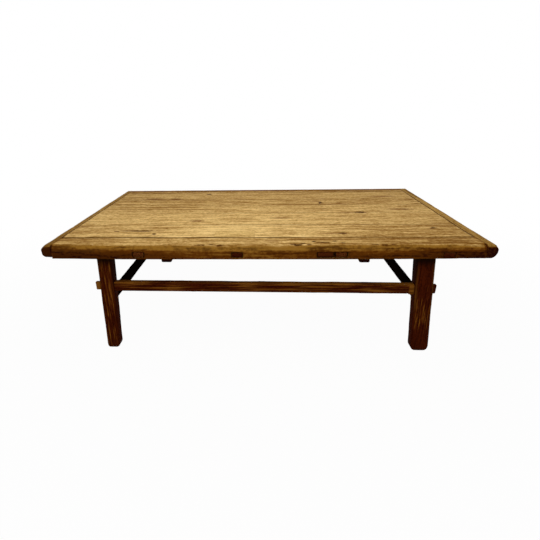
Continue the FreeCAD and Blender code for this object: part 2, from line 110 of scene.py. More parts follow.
def linear(hex_colour):
    """Turns an sRGB hex colour into linear red, green and blue."""
    channels = [int(hex_colour[start:start + 2], 16) / 255 for start in (1, 3, 5)]
    return [c / 12.92 if c <= 0.04045 else ((c + 0.055) / 1.055) ** 2.4 for c in channels]


def hue(label, words, hex_colour):
    """A colour that the user can change."""
    return FloatVectorProperty(name=label, description=words, subtype="COLOR", size=3, min=0, max=1,
                               default=linear(hex_colour))


def length(label, words, millimetres):
    """A size that the user can change."""
    return FloatProperty(name=label, description=words, unit="LENGTH", min=0, default=millimetres * MM)


def amount(label, words, value, subtype="NONE"):
    """A plain number, an angle or a power that the user can change."""
    return FloatProperty(name=label, description=words, subtype=subtype, default=value)


class TimberSettings(PropertyGroup):
    """How the timbers are cut and worn"""

    cut_step: length("Cut step", "Distance between the points that wear can move", 8)
    furrow_depth: length("Furrow depth", "Depth of the shallow furrows along the grain", 0.7)
    dent_depth: length("Dent depth", "Depth of the dents on the faces", 1.2)
    chip_depth: length("Chip depth", "How far a worn arris falls back where it is chipped", 3.5)
    seam_chamfer: length("Seam chamfer", "Worn edge of a plank along a seam", 1.8)
    seam_soil: length("Seam soil", "Width of the dark soil beside a seam", 5)
    seam_gap: length("Seam gap", "Half the open width of a tight seam", 0.3)
    front_seam_gap: length("Front seam gap", "Half the open width of the seam behind the front rail", 1.2)
    rail_arris: length("Rail arris", "Radius of the upper front edge of a long rail", 5)
    rail_lean: length("Rail lean", "How far the upper outer face of a long rail leans inwards", 10)
    rail_lean_height: length("Rail lean height", "Height of that leaning face", 30)
    mortise_gap: length("Mortise gap", "Open gap round a tenon that shows", 0.8)
    mortise_depth: length("Mortise depth", "How deep a mortise is sunk behind a tenon end", 14)
    tenon_proud: length("Tenon proud", "How far a tenon end stands out of the worn face", 0.4)
    crack_width: length("Crack width", "Width of a drying crack at the surface", 3)
    crack_depth: length("Crack depth", "Depth of a drying crack", 4)


class FinishSettings(PropertyGroup):
    """Colours of the wood and of what is left of its finish"""

    top_pale: hue("Top, pale", "Pale early wood of the sanded top", "#F5CF87")
    top_brown: hue("Top, brown", "Brown late wood of the sanded top", "#784E18")
    top_thin: hue("Top, thin stain", "Golden remains of the stain on the rails' upper faces", "#9C6E28")
    top_stain: hue("Top, old stain", "Old brown stain left on the rails' faces", "#6C3A08")
    end_pale: hue("End rails, pale", "Pale wood of the end rails", "#C79E56")
    end_brown: hue("End rails, brown", "Brown wood of the end rails", "#734F1A")
    leg_pale: hue("Legs, pale", "Rubbed streaks of the stained legs", "#8E5E20")
    leg_tan: hue("Legs, tan", "Worn wood between the stain of the legs", "#764412")
    leg_brown: hue("Legs, brown", "Stained wood of the legs", "#481805")
    leg_dark: hue("Legs, dark", "Thick old stain on the legs", "#260602")
    batten_pale: hue("Battens, pale", "Raw wood of the battens", "#7A5826")
    patch_pale: hue("Patch, pale", "Pale wood of the let-in patch", "#EEC980")
    plug_brown: hue("Plug, brown", "Dark wood of the plug in the rail", "#4A2008")
    # Painted shade: the side stretchers' near-black colours stand for their dark stain and for the deep shade
    # under the table
    shadow_brown: hue("Side stretchers, brown", "Thick old lacquer on the side stretchers", "#1C0E06")
    shadow_dark: hue("Side stretchers, dark", "Soot in that lacquer", "#0C0503")
    # The soil colour is also painted shade: on the legs under the rails and inside the frame, and on the
    # plank tongues down the seam gaps
    soil: hue("Soil", "Dirt in seams, cracks and knots", "#180903")
    floor: hue("Floor", "Pale studio floor", "#C4C2BE")


class StageSettings(PropertyGroup):
    """Camera and lamps"""

    lens: amount("Lens", "Focal length on a 36 mm wide sensor, in mm", 25.2)
    eye: FloatVectorProperty(name="Eye", description="Where the camera stands", subtype="TRANSLATION",
                             unit="LENGTH", size=3, default=(0.0118, -1.9230, 1.0102))
    yaw: amount("Yaw", "Turn of the view about the vertical", 0.0573, "ANGLE")
    pitch: amount("Pitch", "Tilt of the view below level", 0.4101, "ANGLE")
    roll: amount("Roll", "Turn of the view about its own line", -0.0208, "ANGLE")
    shift_x: amount("Shift across", "Share of the picture's width", 0.0450)
    shift_y: amount("Shift up", "Share of the picture's width", -0.0059)
    overhead: amount("Overhead lamp", "Power of the lamp over the table", 30, "POWER")
    front: amount("Front lamp", "Power of the lamp behind the camera", 26, "POWER")
    room: amount("Room light", "Strength of the even light of the room", 0.38)


class LowTableSettings(PropertyGroup):
    """All that a user would change on the table"""

    timber: PointerProperty(type=TimberSettings, name="Timber", description="How timbers are cut and worn")
    finish: PointerProperty(type=FinishSettings, name="Finish", description="Colours of wood and finish")
    stage: PointerProperty(type=StageSettings, name="Stage", description="Camera and lamps")


# Modelling by hand: boxes, cuts, bevels and moves in edit mode


def begin_bar(name, low, high):
    """A box between two corners, left in edit mode to be shaped."""
    bpy.ops.object.select_all(action="DESELECT")
    bpy.ops.mesh.primitive_cube_add(size=1, location=(Vector(low) + Vector(high)) / 2)
    piece = bpy.context.object
    piece.name = name
    piece.data.name = name
    piece.scale = Vector(high) - Vector(low)
    bpy.ops.object.transform_apply(location=True, rotation=True, scale=True)
    bpy.ops.object.mode_set(mode="EDIT")
    return piece


def near(value, target):
    """True where two lengths are the same."""
    return abs(value - target) < SAME


def pick_edges(piece, wanted):
    """Selects the edges whose two ends pass a test."""
    bpy.ops.mesh.select_mode(type="EDGE")
    bpy.ops.mesh.select_all(action="DESELECT")
    shape = bmesh.from_edit_mesh(piece.data)
    for edge in shape.edges:
        if wanted(edge.verts[0].co, edge.verts[1].co):
            edge.select_set(True)
    bmesh.update_edit_mesh(piece.data)


def pick_lines(piece, planes, along=None):
    """Selects the edges that lie in planes across the axes and, where an axis is given, run along it."""

    def wanted(start, end):
        in_planes = all(near(point[axis], planes[axis]) for point in (start, end) for axis in planes)
        return in_planes and (along is None or near(abs(end[along] - start[along]), (end - start).length))

    pick_edges(piece, wanted)


def pick_faces(piece, wanted):
    """Selects the faces whose middle and normal pass a test."""
    bpy.ops.mesh.select_mode(type="FACE")
    bpy.ops.mesh.select_all(action="DESELECT")
    shape = bmesh.from_edit_mesh(piece.data)
    shape.normal_update()
    for face in shape.faces:
        if wanted(face.calc_center_median(), face.normal):
            face.select_set(True)
    bmesh.update_edit_mesh(piece.data)


def saw(piece, axis, *places):
    """Cuts an edge loop right round a piece at each plane across one axis."""
    for place in places:
        point, normal = Vector(), Vector()
        point[axis] = place
        normal[axis] = 1
        bpy.ops.mesh.select_all(action="SELECT")
        bpy.ops.mesh.bisect(plane_co=point, plane_no=normal)


def round_edges(width, segments):
    """Bevels the selected edges."""
    bpy.ops.mesh.bevel(offset_type="OFFSET", offset=width, segments=segments, affect="EDGES", profile=0.5)


def extrude(move):
    """Extrudes the selected faces and moves them."""
    bpy.ops.mesh.extrude_region_move(TRANSFORM_OT_translate={"value": move})


def draw_tenon(piece, axis, end, shares, middle, reach):
    """Draws a tenon out of one end of a bar, with shares of the bar's width and height about a middle."""
    move = Vector()
    move[axis] = end * reach
    pick_faces(piece, lambda c, n: n[axis] * end > FACING)
    extrude((0, 0, 0))
    bpy.ops.transform.resize(value=shares, center_override=middle)
    extrude(move)


def span_along(start, end, axis):
    """Where an edge starts and ends along an axis, rounded so that like edges have the same span."""
    return tuple(round(place, 5) for place in sorted((start[axis], end[axis])))


def divide(piece, *axes):
    """Cuts the edges along each axis into lengths of about one step, so that wear has points to move."""
    step = bpy.context.scene.low_table.timber.cut_step
    most_cuts = 100
    long_edge = 1.5 * step

    def runs_along(start, end, axis):
        return abs(end[axis] - start[axis]) > FACING * (end - start).length

    for axis in axes:
        spans = True
        while spans:
            spans = {}
            for edge in bmesh.from_edit_mesh(piece.data).edges:
                start, end = edge.verts[0].co, edge.verts[1].co
                if (end - start).length > long_edge and runs_along(start, end, axis):
                    spans[span_along(start, end, axis)] = (end - start).length
            for span, reach in spans.items():
                pick_edges(piece, lambda a, b: span_along(a, b, axis) == span and runs_along(a, b, axis))
                bpy.ops.mesh.subdivide(number_cuts=min(most_cuts, max(1, round(reach / step) - 1)))


def nudge(piece, move):
    """Moves each point of a piece in edit mode by what a function of its place gives."""
    shape = bmesh.from_edit_mesh(piece.data)
    for vertex in shape.verts:
        vertex.co += move(vertex.co)
    bmesh.update_edit_mesh(piece.data)


def drift_seam(piece):
    """Moves the front of the right end's seam outwards, where the end rail gets narrower."""

    def move(place):
        along = clamp((RIGHT_DRIFT_START - place.y) / RIGHT_DRIFT_LENGTH)
        beside = clamp(1 - abs(place.x - RIGHT_SEAM) / RIGHT_DRIFT_REACH)
        return Vector((RIGHT_SEAM_DRIFT * along * beside, 0, 0))

    nudge(piece, move)


def open_crack(piece):
    """Opens a drying crack along the points nearest to its line, and returns the points at its foot."""
    timber = bpy.context.scene.low_table.timber
    upward, tip_share, fade_rate = 0.7, 0.02, 5
    line = CRACK_END - CRACK_START
    reach = line.length
    line.normalize()
    shape = bmesh.from_edit_mesh(piece.data)
    on_top = [v for v in shape.verts if v.normal.z > upward]
    current = min(on_top, key=lambda v: (v.co - CRACK_START).length)
    chain = [current.co.copy()]
    bpy.ops.mesh.select_mode(type="EDGE")
    bpy.ops.mesh.select_all(action="DESELECT")
    while (current.co - CRACK_START).dot(line) < reach:
        onward = [e for e in current.link_edges
                  if (e.other_vert(current).co - current.co).normalized().dot(line) > FACING]
        if not onward:
            break
        onward[0].select_set(True)
        current = onward[0].other_vert(current)
        chain.append(current.co.copy())
    bmesh.update_edit_mesh(piece.data)
    round_edges(timber.crack_width / 2, 2)
    foot = []
    for vertex in bmesh.from_edit_mesh(piece.data).verts:
        along = (vertex.co - chain[0]).dot(line) / reach
        on_line = min((vertex.co - point).length for point in chain) < 5 * SAME
        if on_line and tip_share < along < 1 - tip_share:
            vertex.co.z -= timber.crack_depth * min(1, fade_rate * along, fade_rate * (1 - along))
            foot.append(vertex.co.copy())
    bmesh.update_edit_mesh(piece.data)
    return foot


# How stained, soiled, pale or chipped a timber is by place, and where shade and light are painted into its
# soil and tone


def clamp(value):
    """Keeps a share between 0 and 1."""
    return max(0, min(1, value))


def between(values, share):
    """The value at a share of the way along a row of values."""
    step = clamp(share) * (len(values) - 1)
    first = min(int(step), len(values) - 2)
    return values[first] + (values[first + 1] - values[first]) * (step - first)


def along_table(x):
    """How far along the table a place is, 0 at the left end of the planks and 1 at the right end."""
    return clamp((x - LEFT_SEAM) / (RIGHT_SEAM - LEFT_SEAM))


def none_at(place, normal):
    """No stain or no soil anywhere."""
    return 0.0


def stained_all_over(place, normal):
    """Stain all over."""
    return 1.0


def even_tone(place, normal):
    """The same tone all over, halfway between pale and brown."""
    return EVEN_TONE


def chipped(place):
    """Chips on every arris."""
    return 1.0


def unchipped(place):
    """No chips on any arris."""
    return 0.0


def arris_share(normal):
    """0 on a flat face and 1 on the middle of a rounded edge, for timbers about square to the axes."""
    rounding = 0.2
    return min(1, (1 - max(abs(component) for component in normal)) / rounding)


def stretched(place, along, waves_along, waves_across):
    """A place scaled for noise with so many waves to the metre along the grain and across it."""
    return Vector([place[axis] * (waves_along if axis == along else waves_across) for axis in range(3)])


def wear_timber(piece, along, seed, pith, stain_at=none_at, soil_and_shade_at=none_at, tone_and_light_at=even_tone,
                chips_at=chipped, crack_feet=()):
    """Leaves edit mode, wears a timber inwards, and stores its grain and its wear on the mesh.

    along is the axis of the grain, and pith is how far the tree's heart lies to the side and below, in mm.
    stain_at, soil_and_shade_at and tone_and_light_at give the stain, the soil with any painted shade, and how
    pale the wood is with any painted light, at a place with a normal. chips_at gives how much an arris is
    chipped at a place. The stored wear is soil with painted shade, stain, rubbing, and tone with painted
    light.
    """
    bpy.ops.object.mode_set(mode="OBJECT")
    smooth_angle = math.radians(38)
    bpy.ops.object.shade_smooth_by_angle(angle=smooth_angle)
    timber = bpy.context.scene.low_table.timber
    crack_reach, crack_soil_reach = 2 * MM, 1.5 * MM
    furrow_waves, chip_waves, fine_waves, dent_waves = (4, 50), (9, 18), 70, 13
    dent_start, mean_chip, fine_share, least_rub = 0.2, 0.35, 0.5, 0.4
    mesh = piece.data
    side = Y_AXIS if along == X_AXIS else X_AXIS
    depth = X_AXIS + Y_AXIS + Z_AXIS - along - side
    middle = sum((vertex.co for vertex in mesh.vertices), Vector()) / len(mesh.vertices)
    shift = Vector([seed * step for step in SEED_SHIFTS])
    cracks = KDTree(len(crack_feet))
    for index, foot in enumerate(crack_feet):
        cracks.insert(foot, index)
    cracks.balance()
    grain, wear, moved = [], [], []
    normals = [vertex.normal.copy() for vertex in mesh.vertices]
    for vertex, normal in zip(mesh.vertices, normals):
        place = vertex.co.copy()
        from_crack = cracks.find(place)[2] if crack_feet else math.inf
        arris, chips = arris_share(normal), chips_at(place)
        furrow = 0.5 + 0.5 * noise.noise(stretched(place, along, *furrow_waves) + shift)
        dent = max(0, noise.noise(place * dent_waves + shift) - dent_start)
        coarse_chip = noise.noise(stretched(place, along, *chip_waves) + shift)
        chip = clamp(mean_chip + coarse_chip + fine_share * noise.noise(place * fine_waves + shift))
        chip_fall = timber.chip_depth * chip * arris * chips
        fall = timber.furrow_depth * furrow + timber.dent_depth * dent + chip_fall
        moved.append(place if from_crack < crack_reach else place - normal * fall)
        # Soil from cracks and from soil_and_shade_at, which on the legs and the plank tongues is painted
        # shade
        soil = max(clamp(1 - from_crack / crack_soil_reach), soil_and_shade_at(place, normal))
        grain += (place[along] + seed * GRAIN_SHIFT, place[side] - middle[side] + pith[0] * MM,
                  place[depth] - middle[depth] + pith[1] * MM)
        rub = arris * (least_rub + (1 - least_rub) * chip) * chips
        wear += (soil, stain_at(place, normal), rub, tone_and_light_at(place, normal))
    for vertex, place in zip(mesh.vertices, moved):
        vertex.co = place
    mesh.attributes.new("grain", "FLOAT_VECTOR", "POINT").data.foreach_set("vector", grain)
    mesh.attributes.new("wear", "FLOAT_COLOR", "POINT").data.foreach_set("color", wear)
    mesh.update()


def hand_over(piece, node, slot, elm=None):
    """Gives a finished timber its elm, by default that of its slot, and its place in the frame."""
    piece.data.materials.append(elm_of(elm or slot))
    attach(piece, BODY)
    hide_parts(node)


# Materials

# Settings that many nodes share, and the sockets of a mix of colours
MULTIPLY_ADD = {"operation": "MULTIPLY_ADD"}
ADD_SHARES = {"operation": "ADD", "use_clamp": True}
MAXIMUM = {"operation": "MAXIMUM"}
LENGTH = {"operation": "LENGTH"}
SMOOTH = {"interpolation_type": "SMOOTHSTEP"}
COLOURS = {"data_type": "RGBA"}
UNDER, OVER, MIXED = 6, 7, 2
WOOD_IOR = 1.48


def put(tree, kind, settings=None, inputs=None, output=0):
    """Adds a node with its settings, and its inputs as values or links, and gives one of its outputs."""
    made = tree.nodes.new(kind)
    for name, value in (settings or {}).items():
        setattr(made, name, value)
    for socket, value in (inputs or {}).items():
        if isinstance(value, bpy.types.NodeSocket):
            tree.links.new(value, made.inputs[socket])
        else:
            made.inputs[socket].default_value = value
    return made.outputs[output] if made.outputs else None


def begin_material(name):
    """A new material with no nodes, and its tree."""
    made = bpy.data.materials.new(name)
    made.use_nodes = True
    made.node_tree.nodes.clear()
    return made, made.node_tree


def board_noise(tree, grain, spot_length, spot_width, detail=2, roughness=0.5):
    """Noise drawn out along the board, its spots about as long and as wide as given."""
    place = put(tree, "ShaderNodeMapping", {},
                {"Vector": grain, "Scale": (1 / spot_length, 1 / spot_width, 1 / spot_width)})
    return put(tree, "ShaderNodeTexNoise", {},
               {"Vector": place, "Scale": 1, "Detail": detail, "Roughness": roughness})


def growth_rings(tree, grain, ring_width):
    """Rings by their distance from the heart of the tree, pushed about so that they close in loops."""
    wander = board_noise(tree, grain, 420 * MM, 9 * ring_width)
    curl = board_noise(tree, grain, 70 * MM, 1.5 * ring_width, 3)
    across = put(tree, "ShaderNodeVectorMath", {"operation": "MULTIPLY"}, {0: grain, 1: (0, 1, 1)})
    radius = put(tree, "ShaderNodeVectorMath", LENGTH, {0: across}, "Value")
    for push, rings_moved in ((wander, 6), (curl, 1.4)):
        radius = put(tree, "ShaderNodeMath", MULTIPLY_ADD, {0: push, 1: rings_moved * ring_width, 2: radius})
    return put(tree, "ShaderNodeTexNoise", {"noise_dimensions": "1D"},
               {"W": radius, "Scale": 1 / ring_width, "Detail": 3, "Roughness": 0.6})


def mark_shares(tree, marks):
    """How much of a point lies in the brown halo and in the dark middle of a knot, nail hole or split."""
    place = put(tree, "ShaderNodeTexCoord", output="Object")
    ragged = put(tree, "ShaderNodeTexNoise", {}, {"Vector": place, "Scale": 90, "Detail": 4})
    core_start = 0.8
    halo, core = 0.0, 0.0
    for x, y, half_long, half_wide, dark in marks:
        core_dark = clamp((dark - core_start) / (1 - core_start))
        reach = Vector((1 / (half_long * MM), 1 / (half_wide * MM), 0))
        oval = put(tree, "ShaderNodeMapping", {},
                   {"Vector": place, "Scale": reach, "Location": (-x * MM * reach.x, -y * MM * reach.y, 0)})
        distance = put(tree, "ShaderNodeVectorMath", LENGTH, {0: oval}, "Value")
        uneven = put(tree, "ShaderNodeMath", MULTIPLY_ADD, {0: ragged, 1: 1.6, 2: distance})
        near_mark = put(tree, "ShaderNodeMapRange", SMOOTH,
                        {"Value": uneven, "From Min": 1.0, "From Max": 2.2, "To Min": dark, "To Max": 0})
        in_mark = put(tree, "ShaderNodeMapRange", SMOOTH,
                      {"Value": uneven, "From Min": 1.3, "From Max": 1.7, "To Min": core_dark, "To Max": 0})
        halo = put(tree, "ShaderNodeMath", MAXIMUM, {0: halo, 1: near_mark})
        core = put(tree, "ShaderNodeMath", MAXIMUM, {0: core, 1: in_mark})
    return halo, core


def old_elm(name, sheen, streak_width, softness, raggedness, contrast, colours, soil, marks=()):
    """Old elm, sanded and waxed, with what is left of a brown stain.

    The eye gets rings in pale and brown that close in loops, long fine lines, a few dark hairlines, short
    streaks, mottles and flecks along the board, a stain with an edge that is ragged along the lines, dark
    seams and knots, painted shade and painted light where the soil and tone carry them, and little sheen.
    """
    pale, brown, stain_thin, stain, stain_dark, stain_pale = colours
    made, tree = begin_material(name)
    grain = put(tree, "ShaderNodeAttribute", {"attribute_name": "grain"}, output="Vector")
    wear = put(tree, "ShaderNodeAttribute", {"attribute_name": "wear"}, output="Color")
    tone = wear.node.outputs["Alpha"]
    parts = put(tree, "ShaderNodeSeparateColor", {}, {"Color": wear}).node
    soil_and_shade_share, stain_share, rub_share = parts.outputs

    # Figure: elm's rings are 3 to 6 mm wide, drawn coarser on the top so that they show at the picture's size
    rings = growth_rings(tree, grain, streak_width)
    lines = board_noise(tree, grain, 180 * MM, streak_width, 4, 0.65)
    streaks = board_noise(tree, grain, 60 * MM, 0.8 * streak_width, 4, 0.65)
    mottles = board_noise(tree, grain, 1.4 * streak_width, streak_width, 3, 0.7)
    pores = board_noise(tree, grain, 25 * MM, 2 * MM, 3)
    flecks = board_noise(tree, grain, 34 * MM, 0.8 * streak_width, 2, 0.6)
    patches = board_noise(tree, grain, 600 * MM, 90 * MM)
    hairs = board_noise(tree, grain, 500 * MM, 22 * MM, 0)

    # Brown share of the wood: the parts of the figure added up, less the tone of the timber (which on the top
    # and the long rails carries a painted pool of light and a painted highlight on the arris), then flecks
    # and hairlines; the two colours are mixed as the eye sees them, so that pale boards show as much as dark
    # ones
    figure = lines
    for part, weight in ((rings, 0.6), (streaks, 0.7), (mottles, 0.9), (pores, 0.3)):
        figure = put(tree, "ShaderNodeMath", MULTIPLY_ADD, {0: part, 1: weight, 2: figure})
    figure = put(tree, "ShaderNodeMath", {"operation": "SUBTRACT"}, {0: figure, 1: tone})
    steeped = put(tree, "ShaderNodeMath", MULTIPLY_ADD, {0: stain_share, 1: 0.5, 2: figure})
    browned = put(tree, "ShaderNodeMapRange", {}, {"Value": steeped, "From Min": 0.926, "From Max": 1.694})
    for spots, spot_start, spot_full in ((flecks, 0.58, 0.74), (hairs, 0.7, 0.78)):
        spot_share = put(tree, "ShaderNodeMapRange", SMOOTH,
                         {"Value": spots, "From Min": spot_start, "From Max": spot_full, "To Max": 0.4})
        browned = put(tree, "ShaderNodeMath", ADD_SHARES, {0: browned, 1: spot_share})
    eye_gamma = 2.2
    eye_pale, eye_brown = ([channel ** (1 / eye_gamma) for channel in colour] for colour in (pale, brown))
    even_mix = put(tree, "ShaderNodeMix", COLOURS,
                   {"Factor": browned, UNDER: eye_pale, OVER: eye_brown}, MIXED)
    wood = put(tree, "ShaderNodeGamma", {}, {"Color": even_mix, "Gamma": eye_gamma})

    # Stain: thin and clear where its share is low, full at 1, thicker and darker over that and in the grain's
    # hollows, and rubbed pale on the arrises
    hollows = put(tree, "ShaderNodeMapRange", SMOOTH,
                  {"Value": figure, "From Min": 1.1, "From Max": 1.55, "To Max": contrast})
    over = put(tree, "ShaderNodeMath", {"operation": "SUBTRACT", "use_clamp": True}, {0: stain_share, 1: 1})
    thickness = put(tree, "ShaderNodeMath", ADD_SHARES, {0: over, 1: hollows})
    uneven = put(tree, "ShaderNodeMath", MULTIPLY_ADD, {0: figure, 1: 0.6, 2: stain_share})
    fullness = put(tree, "ShaderNodeMapRange", {}, {"Value": uneven, "From Min": 1.45, "From Max": 1.8})
    bare_patches = put(tree, "ShaderNodeMapRange", SMOOTH,
                       {"Value": patches, "From Min": 0.45, "From Max": 0.7})
    rubbed = put(tree, "ShaderNodeMath", {"operation": "MULTIPLY", "use_clamp": True},
                 {0: rub_share, 1: bare_patches})
    stain_left = stain_thin
    for layer, layer_colour in ((fullness, stain), (thickness, stain_dark), (rubbed, stain_pale)):
        stain_left = put(tree, "ShaderNodeMix", COLOURS,
                         {"Factor": layer, UNDER: stain_left, OVER: layer_colour}, MIXED)
    ragged = put(tree, "ShaderNodeMath", MULTIPLY_ADD, {0: lines, 1: raggedness, 2: stain_share})
    edge = 0.53 + raggedness / 2
    covered = put(tree, "ShaderNodeMapRange", SMOOTH,
                  {"Value": ragged, "From Min": edge - softness / 2, "From Max": edge + softness / 2})
    coloured = put(tree, "ShaderNodeMix", COLOURS, {"Factor": covered, UNDER: wood, OVER: stain_left}, MIXED)

    # Knots, nail holes and splits: a brown halo, then a dark middle with the soil of the seams
    darkness = soil_and_shade_share
    if marks:
        halo, core = mark_shares(tree, marks)
        coloured = put(tree, "ShaderNodeMix", COLOURS, {"Factor": halo, UNDER: coloured, OVER: stain}, MIXED)
        darkness = put(tree, "ShaderNodeMath", MAXIMUM, {0: soil_and_shade_share, 1: core})
    # The soil colour darkens seams, cracks and knots, and is painted shade on the legs and the plank tongues
    soiled = put(tree, "ShaderNodeMix", COLOURS, {"Factor": darkness, UNDER: coloured, OVER: soil}, MIXED)

    roughness = put(tree, "ShaderNodeMapRange", {}, {"Value": streaks, "To Min": 0.42, "To Max": 0.68})
    relief = put(tree, "ShaderNodeMath", MULTIPLY_ADD, {0: rings, 1: 0.5, 2: pores})
    bump = put(tree, "ShaderNodeBump", {"invert": True},
               {"Height": relief, "Strength": 0.35, "Distance": 0.8 * MM})
    shader = put(tree, "ShaderNodeBsdfPrincipled", {},
                 {"Base Color": soiled, "Roughness": roughness, "Normal": bump, "IOR": WOOD_IOR,
                  "Specular IOR Level": sheen})
    put(tree, "ShaderNodeOutputMaterial", {}, {"Surface": shader})
    return made


def split_peg_wood(name, pale, brown):
    """Split wood of the pegs: a short straight fibre in two browns, dry and without sheen."""
    made, tree = begin_material(name)
    fibre_width = 2 * MM
    place = put(tree, "ShaderNodeTexCoord", output="Object")
    fibres = put(tree, "ShaderNodeTexNoise", {}, {"Vector": place, "Scale": 1 / fibre_width, "Detail": 4})
    colour = put(tree, "ShaderNodeMix", COLOURS, {"Factor": fibres, UNDER: pale, OVER: brown}, MIXED)
    bump = put(tree, "ShaderNodeBump", {}, {"Height": fibres, "Strength": 0.4, "Distance": 0.5 * MM})
    roughness = put(tree, "ShaderNodeMapRange", {}, {"Value": fibres, "To Min": 0.55, "To Max": 0.8})
    shader = put(tree, "ShaderNodeBsdfPrincipled", {},
                 {"Base Color": colour, "Normal": bump, "Roughness": roughness, "IOR": WOOD_IOR})
    put(tree, "ShaderNodeOutputMaterial", {}, {"Surface": shader})
    return made


# The elm of each slot, and of the side stretchers: name, wax sheen, width of a streak (mm), softness and
# raggedness of the stain's edge, contrast in the stain, then the colours of pale and brown wood, and of thin,
# full, dark and rubbed stain
ELMS = {
    "top_elm": ("sanded_elm_top", 0.008, 10, 0.4, 0.5, 0.55,
                "top_pale", "top_brown", "top_thin", "top_stain", "leg_dark", "top_thin"),
    "end_elm": ("rubbed_elm_end_rail", 0.008, 8, 0.5, 0.5, 0.4,
                "end_pale", "end_brown", "end_brown", "top_stain", "leg_dark", "end_brown"),
    "leg_elm": ("stained_elm_leg", 0.003, 6, 0.28, 1.5, 1,
                "leg_pale", "leg_tan", "leg_brown", "leg_brown", "leg_dark", "leg_pale"),
    "batten_wood": ("raw_elm_batten", 0.003, 5, 0.5, 1, 1,
                    "batten_pale", "leg_brown", "leg_brown", "leg_brown", "leg_dark", "batten_pale"),
    "patch_wood": ("new_elm_patch", 0.008, 9, 0.4, 0.5, 0.3,
                   "patch_pale", "top_brown", "top_thin", "top_stain", "leg_dark", "top_thin"),
    # Side stretchers: dark stain, with painted shade from under the table in their near-black colours
    "side_elm": ("stain_and_shade_darkened_elm_side_stretcher", 0.0, 4, 0.65, 1, 1, "shadow_brown", "shadow_dark",
                 "shadow_brown", "shadow_brown", "shadow_dark", "shadow_brown"),
    "plug_wood": ("dark_elm_plug", 0.003, 4, 0.65, 1, 1,
                  "plug_brown", "leg_dark", "plug_brown", "plug_brown", "leg_dark", "plug_brown"),
}


def shade(colour):
    """A colour of the finish as a node takes it, with full alpha."""
    return (*getattr(bpy.context.scene.low_table.finish, colour), 1)


def elm_of(slot):
    """The elm of a slot, made the first time that a timber asks for it."""
    name, sheen, streak_width, softness, raggedness, contrast, *colours = ELMS[slot]
    made = bpy.data.materials.get(name)
    if made:
        return made
    marks = TOP_MARKS if slot == "top_elm" else ()
    shades = [shade(colour) for colour in colours]
    return old_elm(name, sheen, streak_width * MM, softness, raggedness, contrast, shades, shade("soil"),
                   marks)


# Pieces

# How dark each seam of the top is, front to rear, at even steps from the left end to the right end
SEAM_SOILS = (
    (1, 1, 1, 1, 0.4, 0.4, 0.6),
    (0.1, 0.1, 0.45, 0.6, 0.65, 0.35, 0.15),
    (0.15, 0.25, 0.35, 0.5, 0.6, 0.3, 0.1),
    (0.3, 0.35, 0.25, 0.3, 0.2, 0.3, 0.3),
    (0.25, 0.3, 0.3, 0.35, 0.35, 0.25, 0.2),
    (0.4, 0.3, 0.3, 0.3, 0.3, 0.3, 0.4),
)
# How dark the seams of the two end rails are
LEFT_SEAM_SOIL, RIGHT_SEAM_SOIL = 0.3, 0.6
# How pale the planks are, front to rear, and the tops of the long rails, from the left end to the right end:
# the boards' own tones with a painted pool of light, brightest on the front planks left of the middle and
# darker towards the ends
PLANK_TONES_AND_LIGHT = (
    (0.42, 0.56, 0.74, 0.6, 0.4, 0.38),
    (0.58, 0.62, 0.64, 0.56, 0.48),
    (0.54, 0.56, 0.52),
    (0.45, 0.47, 0.45),
    (0.49, 0.51, 0.49),
)
RAIL_TONES_AND_LIGHT = {"front_rail": (0.38, 0.52, 0.52, 0.5, 0.36, 0.34), "rear_rail": (0.4, 0.44, 0.42)}
# Stain left on the outer face of a long rail, from the top down
FACE_STAINS = (0.48, 0.66, 0.68, 0.74, 0.92, 1.06, 1.08, 1.08, 1.08, 1.08, 1.08)
# What is added to it on the lower face, and all the way up, from the left end to the right end
FACE_END_STAINS = (0.5, 0.45, 0.1, -0.06, 0.0, 0.1, 0.6)
SLOPE_STAINS = (0.18, 0.03, -0.04, -0.03, 0.06, 0.1, 0.16)
# How pale the upper arris of a long rail is, from the left end to the right end: rubbed wood and a painted
# highlight along it
ARRIS_TONES_AND_HIGHLIGHT = (0.42, 0.6, 0.64, 0.58, 0.42, 0.36, 0.34)
# How dark the gap is round each tenon that shows, and round the plug
TENON_SOILS = (0.5, 0.5, 0.75, 0.3, 0.45)
# How far the hand-cut foot of the front rail lies above its straight line, from the left end to the right end
FOOT_LINE = (1 * MM, -2 * MM, -2 * MM, -1.5 * MM, -1.5 * MM, 0.5 * MM, 4.5 * MM)
# Each end rail: its side, the rounds of its outer edges at the top and the foot, how far its ends are worn
# down at the top and up at the foot, the stain of its end grain, how dark its seam is, and how pale it is,
# front to rear
END_RAILS = (
    ("left_end_rail", -1, 18 * MM, 19 * MM, 6.5 * MM, 3 * MM, 1.4, LEFT_SEAM_SOIL, (0.1, 0.42, 0.36, 0.36)),
    ("right_end_rail", 1, 15 * MM, 29 * MM, 8.5 * MM, 0, 1.7, RIGHT_SEAM_SOIL, (0.4, 0.54, 0.56, 0.4)),
)
# Stain on the legs, from the floor up
LEG_STAINS = {"left": (0.68, 0.68), "right": (0.84, 0.82, 0.64, 0.64, 0.76, 0.9, 1.3)}
# How each foot is rounded: the height of the round, the share of the leg's width left on the floor, and how
# far that lies to the right of the leg's own line
FOOT_ROUNDS = {
    "front_left_leg": (20 * MM, 0.78, -2 * MM),
    "front_right_leg": (26 * MM, 0.62, 0),
    "rear_left_leg": (9 * MM, 0.88, 0),
    "rear_right_leg": (9 * MM, 0.88, 0),
}


